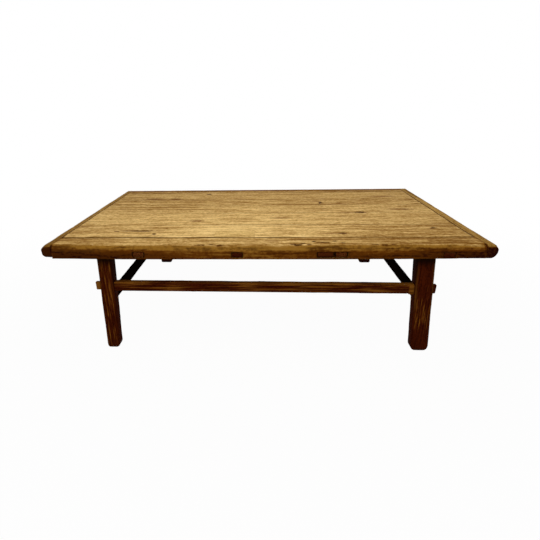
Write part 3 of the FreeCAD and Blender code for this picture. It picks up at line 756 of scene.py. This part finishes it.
def seam_soil(seam, x, distance):
    """How soiled the wood is at a distance from a seam of the top, in patches along it."""
    reach = bpy.context.scene.low_table.timber.seam_soil
    patch_waves, seam_step = 7, 3.3
    mean_soil, patch_depth, edge = 0.85, 0.5, 1.6
    patchy = clamp(mean_soil + patch_depth * noise.noise(Vector((x * patch_waves, seam * seam_step, 0))))
    return between(SEAM_SOILS[seam], along_table(x)) * patchy * clamp(edge - edge * distance / reach)


def tenon_windows(rail):
    """The mortises that show on a long rail: x and z from and to, with the gap round each tenon."""
    gap = bpy.context.scene.low_table.timber.mortise_gap
    reach = TENON_WIDTH / 2 + gap
    windows = []
    for number in range(1, 5):
        low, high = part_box(f"cross_batten_{number}")
        middle = (low.x + high.x) / 2
        windows.append((middle - reach, middle + reach, low.z - gap, PLANK_FOOT + gap))
    if rail == "front_rail":
        low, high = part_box("rail_plug")
        beside_tenon = windows[2][0]
        windows.append((low.x - gap, beside_tenon, low.z - gap, high.z + gap))
    return windows


class LOWTABLE_OT_long_rails(Operator):
    """Models the front and rear rails of the top: a leaning upper face, a worn arris and sunk mortises"""

    bl_idname = "low_table.long_rails"
    bl_label = "Long rails"

    def execute(self, context):
        timber = context.scene.low_table.timber
        worn_length, worn_reach, worn_depth, worn_drop = 110 * MM, 22 * MM, 30 * MM, 8 * MM
        foot_line_reach = 12 * MM
        end_stain, hidden_stain, front_top_stain = 1.4, 1.3, 0.08
        rear_top_stain, rear_stain_reach, rear_stain_fade = 0.9, 72 * MM, 30 * MM
        low_stain_rate, low_stain_start = 1.6, 0.2
        tenon_soil_reach = 2 * MM
        facing_up, leaning_up, tilted_up, facing_in, facing_down = 0.8, 0.7, 0.2, -0.3, -0.5
        for seed, (node, outward) in enumerate((("front_rail", -1), ("rear_rail", 1)), 1):
            low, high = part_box(node)
            outer = low.y if outward < 0 else high.y
            inner = FRONT_SEAM - timber.front_seam_gap if outward < 0 else REAR_SEAM
            seam = 0 if outward < 0 else len(SEAM_SOILS) - 1
            arris = outer - outward * timber.rail_lean
            piece = begin_bar(f"{node}_timber", (LEFT_SEAM, min(inner, outer), low.z),
                              (RIGHT_SEAM, max(inner, outer), high.z))
            saw(piece, Z_AXIS, high.z - timber.rail_lean_height)
            pick_lines(piece, {Y_AXIS: outer, Z_AXIS: high.z})
            bpy.ops.transform.translate(value=(0, -outward * timber.rail_lean, 0))
            pick_lines(piece, {Y_AXIS: arris})
            round_edges(timber.rail_arris, 3)
            pick_lines(piece, {Y_AXIS: outer}, X_AXIS)
            round_edges(timber.rail_arris, 3)
            pick_lines(piece, {Y_AXIS: inner}, X_AXIS)
            round_edges(timber.seam_chamfer, 2)
            windows = tenon_windows(node)
            saw(piece, Z_AXIS, *sorted({z for window in windows for z in window[2:]}))
            saw(piece, X_AXIS, *sorted({x for window in windows for x in window[:2]}))
            saw(piece, Y_AXIS, inner + outward * timber.seam_soil / 2, inner + outward * timber.seam_soil)
            for left, right, foot, head in windows:
                pick_faces(piece, lambda c, n: left < c.x < right and foot < c.z < head
                           and n.y * outward > FACING and abs(c.y - outer) < MM)
                extrude((0, -outward * timber.mortise_depth, 0))
            divide(piece, X_AXIS, Y_AXIS, Z_AXIS)

            def lift_foot(place):
                near_foot = clamp(1 - (place.z - low.z) / foot_line_reach)
                return Vector((0, 0, between(FOOT_LINE, along_table(place.x)) * near_foot))

            def wear_right_end(place):
                near_end = clamp(1 - (RIGHT_SEAM - place.x) / worn_length)
                near_arris = clamp(1 - (place.y - arris) / worn_reach)
                near_top = clamp(1 - (high.z - place.z) / worn_depth)
                return Vector((0, 0, -worn_drop)) * near_end * near_arris * near_top

            if outward < 0:
                nudge(piece, lift_foot)
                nudge(piece, wear_right_end)
                drift_seam(piece)

            def at_end(place):
                return place.x < LEFT_SEAM + MM or place.x > RIGHT_SEAM - MM

            def depth_share(place):
                return (high.z - place.z) / (high.z - low.z)

            def stain_at(place, normal):
                if at_end(place) and normal.z < leaning_up:
                    return end_stain
                if normal.z > facing_up and outward < 0:
                    return front_top_stain
                if normal.z > facing_up:
                    from_reach = rear_stain_reach - abs(place.y - outer)
                    return rear_top_stain * clamp(from_reach / rear_stain_fade)
                if normal.y * outward < facing_in or normal.z < facing_down:
                    return hidden_stain
                depth, along = depth_share(place), along_table(place.x)
                low_stain = between(FACE_END_STAINS, along) * clamp(low_stain_rate * depth - low_stain_start)
                return between(FACE_STAINS, depth) + between(SLOPE_STAINS, along) + low_stain

            def soil_and_shade_at(place, normal):
                if normal.z > tilted_up:
                    return seam_soil(seam, place.x, abs(place.y - inner))
                for (left, right, foot, head), soil in zip(windows, TENON_SOILS):
                    outside = max(left - place.x, place.x - right, foot - place.z, place.z - head)
                    if outside < tenon_soil_reach:
                        return soil
                return 0.0

            # Upper faces: tone with a painted pool of light; outer face: rubbed wood and a painted highlight
            # on the upper arris
            def tone_and_light_at(place, normal):
                if normal.z > leaning_up:
                    return between(RAIL_TONES_AND_LIGHT[node], along_table(place.x))
                arris_tone_and_highlight = between(ARRIS_TONES_AND_HIGHLIGHT, along_table(place.x))
                return between((arris_tone_and_highlight, *[EVEN_TONE] * 5), depth_share(place))

            def chips_at(place):
                return 0.0 if at_end(place) else 1.0

            wear_timber(piece, X_AXIS, seed, (30 * outward, 45), stain_at, soil_and_shade_at, tone_and_light_at, chips_at)
            hand_over(piece, node, "top_elm")
        return {"FINISHED"}


class LOWTABLE_OT_end_rails(Operator):
    """Models the two end rails, rounded outside, with their end grain at the front and rear edges"""

    bl_idname = "low_table.end_rails"
    bl_label = "End rails"

    def execute(self, context):
        timber = context.scene.low_table.timber
        swell = 4 * MM
        end_inset, end_bulge = 3 * MM, 1.5 * MM
        worn_reach, worn_depth = 12 * MM, 22 * MM
        seam_face, seam_face_edge = 11 * MM, 3 * MM
        seam_face_stain, hidden_stain, under_stain, worn_chips = 1.2, 1.6, 1.3, 0.25
        side_stain, upward_fade = 0.95, 0.9
        end_grain, facing_in, tilted_up = 0.62, -0.35, 0.2
        first_seed = 11
        for seed, row in enumerate(END_RAILS, first_seed):
            node, outward, top_round, foot_round, worn_drop, worn_lift, end_stain, seam_darkness, tones = row
            low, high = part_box(node)
            outer = low.x - swell if outward < 0 else high.x + swell
            inner = LEFT_SEAM if outward < 0 else RIGHT_SEAM
            piece = begin_bar(f"{node}_timber", (min(inner, outer), low.y, low.z),
                              (max(inner, outer), high.y, high.z))
            pick_lines(piece, {X_AXIS: outer, Z_AXIS: high.z})
            round_edges(top_round, 5)
            pick_lines(piece, {X_AXIS: outer, Z_AXIS: low.z})
            round_edges(foot_round, 6)
            pick_lines(piece, {X_AXIS: inner}, Y_AXIS)
            round_edges(timber.seam_chamfer, 2)
            pick_faces(piece, lambda c, n: abs(n.y) > FACING)
            bpy.ops.mesh.inset(thickness=end_inset, depth=end_bulge)
            saw(piece, X_AXIS, inner + outward * timber.seam_soil)
            saw(piece, Y_AXIS, low.y + worn_reach, high.y - worn_reach)
            saw(piece, Z_AXIS, high.z - seam_face - seam_face_edge)
            divide(piece, Y_AXIS, X_AXIS)
            drift_seam(piece)

            def from_end(place):
                return min(place.y - low.y, high.y - place.y)

            def wear_ends(place):
                lift = worn_lift * clamp(1 - (place.z - low.z) / worn_depth)
                drop = worn_drop * clamp(1 - (high.z - place.z) / worn_depth)
                return Vector((0, 0, lift - drop)) * clamp(1 - from_end(place) / worn_reach)

            nudge(piece, wear_ends)

            def stain_at(place, normal):
                if abs(normal.y) > end_grain:
                    return end_stain
                if normal.x * outward < facing_in:
                    return hidden_stain if high.z - place.z > seam_face else seam_face_stain
                return clamp(side_stain - upward_fade * normal.z) if normal.z > 0 else under_stain

            def soil_and_shade_at(place, normal):
                beside_seam = clamp(1 - abs(place.x - inner) / timber.seam_soil)
                return seam_darkness * beside_seam if normal.z > tilted_up else 0.0

            def tone_and_light_at(place, normal):
                return between(tones, 0.5 + place.y / (high.y - low.y))

            def chips_at(place):
                if (place.x - inner) * outward < RIGHT_SEAM_DRIFT + MM:
                    return 0.0
                return 1.0 if from_end(place) > worn_reach - MM else worn_chips

            wear_timber(piece, Y_AXIS, seed, (20 * outward, 30), stain_at, soil_and_shade_at, tone_and_light_at, chips_at)
            hand_over(piece, node, "end_elm")
        return {"FINISHED"}


class LOWTABLE_OT_planks(Operator):
    """Models the five planks of the top, with worn edges along their seams"""

    bl_idname = "low_table.planks"
    bl_label = "Planks"

    def execute(self, context):
        timber = context.scene.low_table.timber
        seams = [FRONT_SEAM, *(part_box(f"top_plank_{number}")[0].y for number in range(2, 6)), REAR_SEAM]
        left, right = LEFT_SEAM + timber.seam_gap, RIGHT_SEAM - timber.seam_gap
        tongue_foot, tongue_head, tongue_reach = PLANK_FOOT + 8 * MM, PLANK_FOOT + 17 * MM, 8 * MM
        piths = ((20, 70), (-60, 50), (35, 60), (-20, 80), (70, 45))
        patch_low, patch_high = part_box("plank_patch")
        tilted_up, facing_down = 0.3, -0.5
        first_seed = 21
        for index, (pith, tones) in enumerate(zip(piths, PLANK_TONES_AND_LIGHT)):
            node = f"top_plank_{index + 1}"
            low_y = seams[index] + (timber.seam_gap if index else timber.front_seam_gap)
            high_y = seams[index + 1] - timber.seam_gap
            piece = begin_bar(f"{node}_timber", (left, low_y, PLANK_FOOT), (right, high_y, TABLE_TOP))
            pick_lines(piece, {Z_AXIS: TABLE_TOP})
            round_edges(timber.seam_chamfer, 2)
            saw(piece, Y_AXIS, low_y + timber.seam_soil, high_y - timber.seam_soil)
            saw(piece, X_AXIS, left + timber.seam_soil, right - timber.seam_soil)
            saw(piece, Z_AXIS, tongue_foot, tongue_head)
            for direction in (Vector((1, 0, 0)), Vector((-1, 0, 0)), Vector((0, 1, 0)), Vector((0, -1, 0))):
                pick_faces(piece, lambda c, n: n.dot(direction) > FACING and tongue_foot < c.z < tongue_head)
                extrude(direction * tongue_reach)
            if index == PATCHED_PLANK:
                self.sink_patch_bed(piece, patch_low, patch_high)
            divide(piece, X_AXIS, Y_AXIS)
            drift_seam(piece)
            crack_feet = open_crack(piece) if index == PATCHED_PLANK else ()

            def stain_at(place, normal):
                return 0.0 if normal.z > tilted_up else 1.0

            def soil_and_shade_at(place, normal):
                # Painted shade: the tongues, seen only down the seam gaps, take the full soil colour so that
                # the gaps show dark
                if place.z < tongue_head + MM:
                    return 1.0 if normal.z > facing_down else 0.0
                front = seam_soil(index, place.x, place.y - low_y)
                rear = seam_soil(index + 1, place.x, high_y - place.y)
                left_end = LEFT_SEAM_SOIL * clamp(1 - (place.x - left) / timber.seam_soil)
                right_end = RIGHT_SEAM_SOIL * clamp(1 - (right - place.x) / timber.seam_soil)
                return max(front, rear, left_end, right_end)

            # Board tones with a painted pool of light, brightest on the front planks left of the middle
            def tone_and_light_at(place, normal):
                return between(tones, along_table(place.x))

            def chips_at(place):
                from_patch = max(patch_low.x - place.x, place.x - patch_high.x,
                                 patch_low.y - place.y, place.y - patch_high.y)
                return 0.0 if index == PATCHED_PLANK and from_patch < MM else 1.0

            wear_timber(piece, X_AXIS, first_seed + index, pith, stain_at, soil_and_shade_at, tone_and_light_at, chips_at,
                        crack_feet)
            hand_over(piece, node, "top_elm")
        return {"FINISHED"}

    def sink_patch_bed(self, piece, low, high):
        """Cuts the shallow bed that the patch is let into."""
        for axis in (X_AXIS, Y_AXIS):
            saw(piece, axis, low[axis], high[axis])
        pick_faces(piece, lambda c, n: n.z > FACING and low.x < c.x < high.x and low.y < c.y < high.y)
        extrude((0, 0, low.z - high.z))


class LOWTABLE_OT_battens(Operator):
    """Models the four battens under the planks, with tenons that show on both long rails"""

    bl_idname = "low_table.battens"
    bl_label = "Cross battens"

    def execute(self, context):
        timber = context.scene.low_table.timber
        shoulder = REAR_SEAM
        tips = abs(TABLE_FRONT) + timber.tenon_proud
        tip_round, arris_round = 1.5 * MM, 4 * MM
        under_stain, tenon_stains = 0.5, (0.4, 1.3, 0.42, 1.05)
        first_seed, pith = 31, (25, 40)
        for index, tenon_stain in enumerate(tenon_stains):
            node = f"cross_batten_{index + 1}"
            low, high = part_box(node)
            piece = begin_bar(f"{node}_timber", (low.x, -shoulder, low.z), (high.x, shoulder, PLANK_FOOT))
            for end in (-1, 1):
                draw_tenon(piece, Y_AXIS, end, (TENON_WIDTH / (high.x - low.x), 1, 1),
                           ((low.x + high.x) / 2, end * shoulder, PLANK_FOOT), tips - shoulder)
            pick_edges(piece, lambda a, b: near(abs(a.y), tips) and near(a.y, b.y))
            round_edges(tip_round, 2)
            pick_edges(piece, lambda a, b: near(a.z, low.z) and near(b.z, low.z)
                       and abs(a.y - b.y) > shoulder)
            round_edges(arris_round, 3)
            divide(piece, Y_AXIS, X_AXIS)

            def stain_at(place, normal):
                return tenon_stain if abs(place.y) > shoulder else under_stain

            wear_timber(piece, Y_AXIS, first_seed + index, pith, stain_at)
            hand_over(piece, node, "batten_wood")
        return {"FINISHED"}


class LOWTABLE_OT_repairs(Operator):
    """Models the patch let into the front plank and the plug in the old mortise of the front rail"""

    bl_idname = "low_table.repairs"
    bl_label = "Patch and plug"

    def execute(self, context):
        patch_round, plug_round = 0.1 * MM, 1.2 * MM
        patch_tone, edge_soil, edge_soil_reach = 0.68, 0.05, 1.5 * MM
        patch_seed, patch_pith = 21, (20, 60)
        plug_seed, plug_pith = 42, (10, 20)

        low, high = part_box("plank_patch")
        piece = begin_bar("plank_patch_timber", low, high)
        pick_lines(piece, {Z_AXIS: high.z})
        round_edges(patch_round, 1)
        divide(piece, X_AXIS, Y_AXIS)

        def patch_soil(place, normal):
            from_edge = min(place.x - low.x, high.x - place.x, place.y - low.y, high.y - place.y)
            return edge_soil * clamp(1 - from_edge / edge_soil_reach)

        wear_timber(piece, X_AXIS, patch_seed, patch_pith, soil_and_shade_at=patch_soil,
                    tone_and_light_at=lambda place, normal: patch_tone, chips_at=unchipped)
        hand_over(piece, "plank_patch", "patch_wood")

        low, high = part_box("rail_plug")
        piece = begin_bar("rail_plug_timber", low, high)
        pick_lines(piece, {Y_AXIS: low.y})
        round_edges(plug_round, 2)
        divide(piece, X_AXIS, Z_AXIS)
        wear_timber(piece, X_AXIS, plug_seed, plug_pith, stained_all_over)
        hand_over(piece, "rail_plug", "plug_wood")
        return {"FINISHED"}


def section(node, low_z, high_z):
    """The corners, seen from above, of the part of a leg between two heights."""
    points = [v.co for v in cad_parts[node].data.vertices if low_z <= v.co.z <= high_z]
    low = Vector((min(p.x for p in points), min(p.y for p in points)))
    high = Vector((max(p.x for p in points), max(p.y for p in points)))
    return low, high


class LOWTABLE_OT_legs(Operator):
    """Models the four legs: splayed and tapered, and rounded at the arrises and feet"""

    bl_idname = "low_table.legs"
    bl_label = "Legs"

    def execute(self, context):
        corner_round, shortest_side = 10 * MM, 4 * MM
        head = RAIL_FOOT + 6 * MM
        foot_band, rear_foot_spread = (8 * MM, 16 * MM), 7 * MM
        foot_chips, chip_start = 0.1, 40 * MM
        facing_in, inner_stain = -0.6, 0.3
        # Painted shadow: the soil colour darkens every face of a leg just under the rail, and painted shade
        # darkens the inner faces higher up under the top
        rail_shadow, rail_shadow_start, rail_shadow_fade = 0.95, RAIL_FOOT - 44 * MM, 30 * MM
        inner_shade, inner_shade_start, inner_shade_fade = 0.55, 290 * MM, 60 * MM
        first_seed, pith = 51, (18, 34)
        nodes = [f"{depth}_{side}_leg" for depth in ("front", "rear") for side in ("left", "right")]
        for index, node in enumerate(nodes):
            top_low, top_high = section(node, RAIL_FOOT - MM, RAIL_FOOT + MM)
            foot_low, foot_high = section(node, *foot_band)
            top_size, foot_size = top_high - top_low, foot_high - foot_low
            top_middle, foot_middle = (top_low + top_high) / 2, (foot_low + foot_high) / 2
            if "rear" in node:
                foot_size.x += rear_foot_spread
            foot_height, foot_share, foot_shift = FOOT_ROUNDS[node]
            ankle_size = foot_size.lerp(top_size, foot_height / head)
            ankle_middle = foot_middle.lerp(top_middle, foot_height / head)
            piece = begin_bar(f"{node}_timber", (*top_low, foot_height), (*top_high, head))
            pick_faces(piece, lambda c, n: n.z < -FACING)
            bpy.ops.transform.resize(value=(ankle_size.x / top_size.x, ankle_size.y / top_size.y, 1),
                                     center_override=(*top_middle, 0))
            bpy.ops.transform.translate(value=(*(ankle_middle - top_middle), 0))
            pick_edges(piece, lambda a, b: abs(a.z - b.z) > shortest_side)
            round_edges(corner_round, 4)
            sole_middle = foot_middle + Vector((foot_shift, 0))
            self.round_foot(piece, ankle_middle, sole_middle, foot_height, foot_share)
            divide(piece, Z_AXIS, X_AXIS, Y_AXIS)
            stains = LEG_STAINS["left" if "left" in node else "right"]

            def faces_in(place, normal):
                inward_x = normal.x * math.copysign(1, place.x) < facing_in
                inward_y = normal.y * math.copysign(1, place.y) < facing_in
                return inward_x or inward_y

            def stain_at(place, normal):
                base = between(stains, place.z / RAIL_FOOT)
                return base + inner_stain if faces_in(place, normal) else base

            # Painted shadow under the rail on all faces, and painted shade on the inner faces near the top
            def soil_and_shade_at(place, normal):
                shadow_under_rail = rail_shadow * clamp((place.z - rail_shadow_start) / rail_shadow_fade)
                shade_inside_frame = inner_shade * clamp((place.z - inner_shade_start) / inner_shade_fade)
                return max(shadow_under_rail, shade_inside_frame) if faces_in(place, normal) else shadow_under_rail

            def chips_at(place):
                return between((foot_chips, 1), (place.z - foot_height) / chip_start)

            wear_timber(piece, Z_AXIS, first_seed + index, pith, stain_at, soil_and_shade_at, chips_at=chips_at)
            hand_over(piece, node, "leg_elm")
        return {"FINISHED"}

    def round_foot(self, piece, ankle_middle, sole_middle, height, share):
        """Draws the lower end of a leg down to the floor in steps that follow a quarter of an oval."""
        steps = 6
        last_turn = math.radians(80)
        pick_faces(piece, lambda c, n: n.z < -FACING)
        last_drop, last_share, last_middle = 0, 1, ankle_middle
        for step in range(1, steps + 1):
            turn = last_turn * step / steps
            drop = math.sin(turn) / math.sin(last_turn)
            inset = (1 - math.cos(turn)) / (1 - math.cos(last_turn))
            step_share = 1 - (1 - share) * inset
            middle = ankle_middle.lerp(sole_middle, inset)
            extrude((*(middle - last_middle), (last_drop - drop) * height))
            bpy.ops.transform.resize(value=(step_share / last_share, step_share / last_share, 1),
                                     center_override=(*middle, 0))
            last_drop, last_share, last_middle = drop, step_share, middle


class LOWTABLE_OT_stretchers(Operator):
    """Models the long stretchers, with tenons through the legs, and the lower side stretchers"""

    bl_idname = "low_table.stretchers"
    bl_label = "Stretchers"

    def execute(self, context):
        tenon_height, tenon_depth, tenon_length = 38 * MM, 16 * MM, 48 * MM
        arris_round, tip_round = 4 * MM, 2 * MM
        long_edge = 500 * MM
        fall_to_right = 0.005
        block_start, block_drop = 603 * MM, 3.5 * MM
        left_leg_face = -690 * MM
        left_tip_stain, right_tip_stain, block_stain, top_stain, side_stain = 0.2, 0.8, 0.44, 0.5, 0.62
        patch_depth, patch_waves_along, patch_waves_up, facing_up = 0.2, 9, 40, 0.5
        long_seed, long_pith = 61, (14, 26)
        side_seed, side_pith = 63, (12, 24)
        for index, node in enumerate(("front_stretcher", "rear_stretcher")):
            low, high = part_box(node)
            middle = (low + high) / 2
            left, right = low.x + tenon_length, high.x - tenon_length
            piece = begin_bar(f"{node}_timber", (left, low.y, low.z), (right, high.y, high.z))
            pick_edges(piece, lambda a, b: abs(a.x - b.x) > long_edge)
            round_edges(arris_round, 3)
            saw(piece, X_AXIS, block_start, block_start + MM)
            pick_faces(piece, lambda c, n: c.x > block_start + MM and n.z < -FACING)
            bpy.ops.transform.translate(value=(0, 0, -block_drop))
            shares = (1, tenon_depth / (high.y - low.y), tenon_height / (high.z - low.z))
            for end, place in ((-1, left), (1, right)):
                draw_tenon(piece, X_AXIS, end, shares, (place, middle.y, middle.z), tenon_length)
            pick_edges(piece, lambda a, b: near(a.x, b.x) and (near(a.x, low.x) or near(a.x, high.x)))
            round_edges(tip_round, 2)
            divide(piece, X_AXIS, Y_AXIS, Z_AXIS)
            nudge(piece, lambda place: Vector((0, 0, -fall_to_right * place.x)))

            def stain_at(place, normal):
                if place.x < left_leg_face:
                    return left_tip_stain
                if place.x > right:
                    return right_tip_stain
                if place.x > block_start:
                    return block_stain
                on_face = Vector((place.x * patch_waves_along, place.z * patch_waves_up, index))
                patchy = patch_depth * noise.noise(on_face)
                return patchy + (top_stain if normal.z > facing_up else side_stain)

            wear_timber(piece, X_AXIS, long_seed + index, long_pith, stain_at)
            hand_over(piece, node, "leg_elm")
        for index, node in enumerate(("left_stretcher", "right_stretcher")):
            piece = begin_bar(f"{node}_timber", *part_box(node))
            pick_edges(piece, lambda a, b: abs(a.y - b.y) > long_edge)
            round_edges(arris_round, 3)
            divide(piece, Y_AXIS, X_AXIS, Z_AXIS)
            wear_timber(piece, Y_AXIS, side_seed + index, side_pith, stained_all_over)
            # The side stretchers take the near-black side elm: dark stain and painted shade
            hand_over(piece, node, "leg_elm", "side_elm")
        return {"FINISHED"}


class LOWTABLE_OT_pegs(Operator):
    """Gives the pegs that lock the tenons their split wood"""

    bl_idname = "low_table.pegs"
    bl_label = "Pegs"

    def execute(self, context):
        wood = split_peg_wood("split_peg_wood", shade("leg_pale"), shade("leg_brown"))
        for node in ("leg_pegs", "end_rail_pegs", "stretcher_pegs", "side_stretcher_pegs"):
            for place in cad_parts[node].material_slots:
                place.material = wood
        return {"FINISHED"}


def add_lamp(name, place, size, power):
    """A soft square lamp that faces the middle of the table."""
    bpy.ops.object.light_add(type="AREA", location=place)
    lamp = bpy.context.object
    lamp.name = name
    lamp.data.shape = "SQUARE"
    lamp.data.size = size
    lamp.data.energy = power
    table_middle = Vector((0, 0, 0.3))
    aim = table_middle - Vector(place)
    lamp.rotation_euler = aim.to_track_quat("-Z", "Y").to_euler()


class LOWTABLE_OT_stage(Operator):
    """Sets the pale floor, the soft lamps and the camera"""

    bl_idname = "low_table.stage"
    bl_label = "Stage"

    def execute(self, context):
        stage = context.scene.low_table.stage
        bpy.ops.object.select_all(action="DESELECT")
        bpy.ops.mesh.primitive_circle_add(vertices=96, radius=30, fill_type="NGON", location=(0, 0, 0))
        floor = bpy.context.object
        floor.name = "studio_floor"
        floor.data.materials.append(self.floor_paper(shade("floor")))
        add_lamp("overhead_lamp", (0.0, -0.5, 2.6), 2.6, stage.overhead)
        add_lamp("front_lamp", (-0.6, -3.4, 1.9), 2.2, stage.front)
        self.light_room(context.scene, stage.room)
        self.place_camera(context.scene, stage)
        context.scene.view_settings.view_transform = "Standard"
        return {"FINISHED"}

    def floor_paper(self, colour):
        """Matt white paper: bright to the eye, with a soft shadow left on it near the table."""
        made, tree = begin_material("white_paper")
        place = put(tree, "ShaderNodeTexCoord", output="Object")
        distance = put(tree, "ShaderNodeVectorMath", LENGTH, {0: place}, "Value")
        fade = put(tree, "ShaderNodeMapRange", SMOOTH,
                   {"Value": distance, "From Min": 0.9, "From Max": 2.6, "To Min": 0.97, "To Max": 1})
        glow = put(tree, "ShaderNodeMath", {"operation": "MULTIPLY"}, {0: self.seen_by_eye(tree), 1: fade})
        paper = put(tree, "ShaderNodeBsdfDiffuse", {}, {"Color": colour})
        white = put(tree, "ShaderNodeEmission", {}, {"Color": (1, 1, 1, 1), "Strength": 1})
        mixed = put(tree, "ShaderNodeMixShader", {}, {0: glow, 1: paper, 2: white})
        put(tree, "ShaderNodeOutputMaterial", {}, {"Surface": mixed})
        return made

    def seen_by_eye(self, tree):
        """1 for rays from the camera, also by way of a mirror or glass."""
        rays = put(tree, "ShaderNodeLightPath").node.outputs
        seen = rays["Is Camera Ray"]
        for ray in ("Is Glossy Ray", "Is Transmission Ray"):
            seen = put(tree, "ShaderNodeMath", MAXIMUM, {0: seen, 1: rays[ray]})
        return seen

    def light_room(self, scene, strength):
        """Even grey light from all round, white where the camera looks past the floor."""
        scene.world = bpy.data.worlds.new("white_room")
        scene.world.use_nodes = True
        tree = scene.world.node_tree
        tree.nodes.clear()
        level = put(tree, "ShaderNodeMapRange", {},
                    {"Value": self.seen_by_eye(tree), "To Min": strength, "To Max": 1})
        light = put(tree, "ShaderNodeBackground", {}, {"Color": (1, 1, 1, 1), "Strength": level})
        put(tree, "ShaderNodeOutputWorld", {}, {"Surface": light})

    def place_camera(self, scene, stage):
        """Stands the camera where the photograph was taken."""
        bpy.ops.object.camera_add(location=stage.eye)
        camera = bpy.context.object
        camera.name = "photo_camera"
        tilt = Euler((math.pi / 2 - stage.pitch, 0, stage.yaw)).to_matrix()
        camera.rotation_euler = (tilt @ Matrix.Rotation(stage.roll, 3, "Z")).to_euler()
        camera.data.sensor_width = 36
        camera.data.lens = stage.lens
        camera.data.shift_x = stage.shift_x
        camera.data.shift_y = stage.shift_y
        scene.camera = camera


class LOWTABLE_PT_sidebar(Panel):
    """Shows the settings of the table and the steps that build it"""

    bl_idname = "LOWTABLE_PT_sidebar"
    bl_label = "Low table"
    bl_space_type = "VIEW_3D"
    bl_region_type = "UI"
    bl_category = "Low table"

    def draw(self, context):
        settings = context.scene.low_table
        for group in (settings.timber, settings.finish, settings.stage):
            box = self.layout.box()
            for name in group.__annotations__:
                box.prop(group, name)
        for operator in OPERATORS:
            self.layout.operator(operator.bl_idname)


OPERATORS = (
    LOWTABLE_OT_long_rails,
    LOWTABLE_OT_end_rails,
    LOWTABLE_OT_planks,
    LOWTABLE_OT_battens,
    LOWTABLE_OT_repairs,
    LOWTABLE_OT_legs,
    LOWTABLE_OT_stretchers,
    LOWTABLE_OT_pegs,
    LOWTABLE_OT_stage,
)
SETTINGS = (TimberSettings, FinishSettings, StageSettings, LowTableSettings)


def register():
    for made in SETTINGS + OPERATORS + (LOWTABLE_PT_sidebar,):
        bpy.utils.register_class(made)
    bpy.types.Scene.low_table = PointerProperty(type=LowTableSettings, name="Low table",
                                                description="Settings of the low table")


def unregister():
    del bpy.types.Scene.low_table
    for made in reversed(SETTINGS + OPERATORS + (LOWTABLE_PT_sidebar,)):
        bpy.utils.unregister_class(made)


def main():
    register()
    bpy.ops.low_table.long_rails()
    bpy.ops.low_table.end_rails()
    bpy.ops.low_table.planks()
    bpy.ops.low_table.battens()
    bpy.ops.low_table.repairs()
    bpy.ops.low_table.legs()
    bpy.ops.low_table.stretchers()
    bpy.ops.low_table.pegs()
    bpy.ops.low_table.stage()


if __name__ == "__main__":
    main()
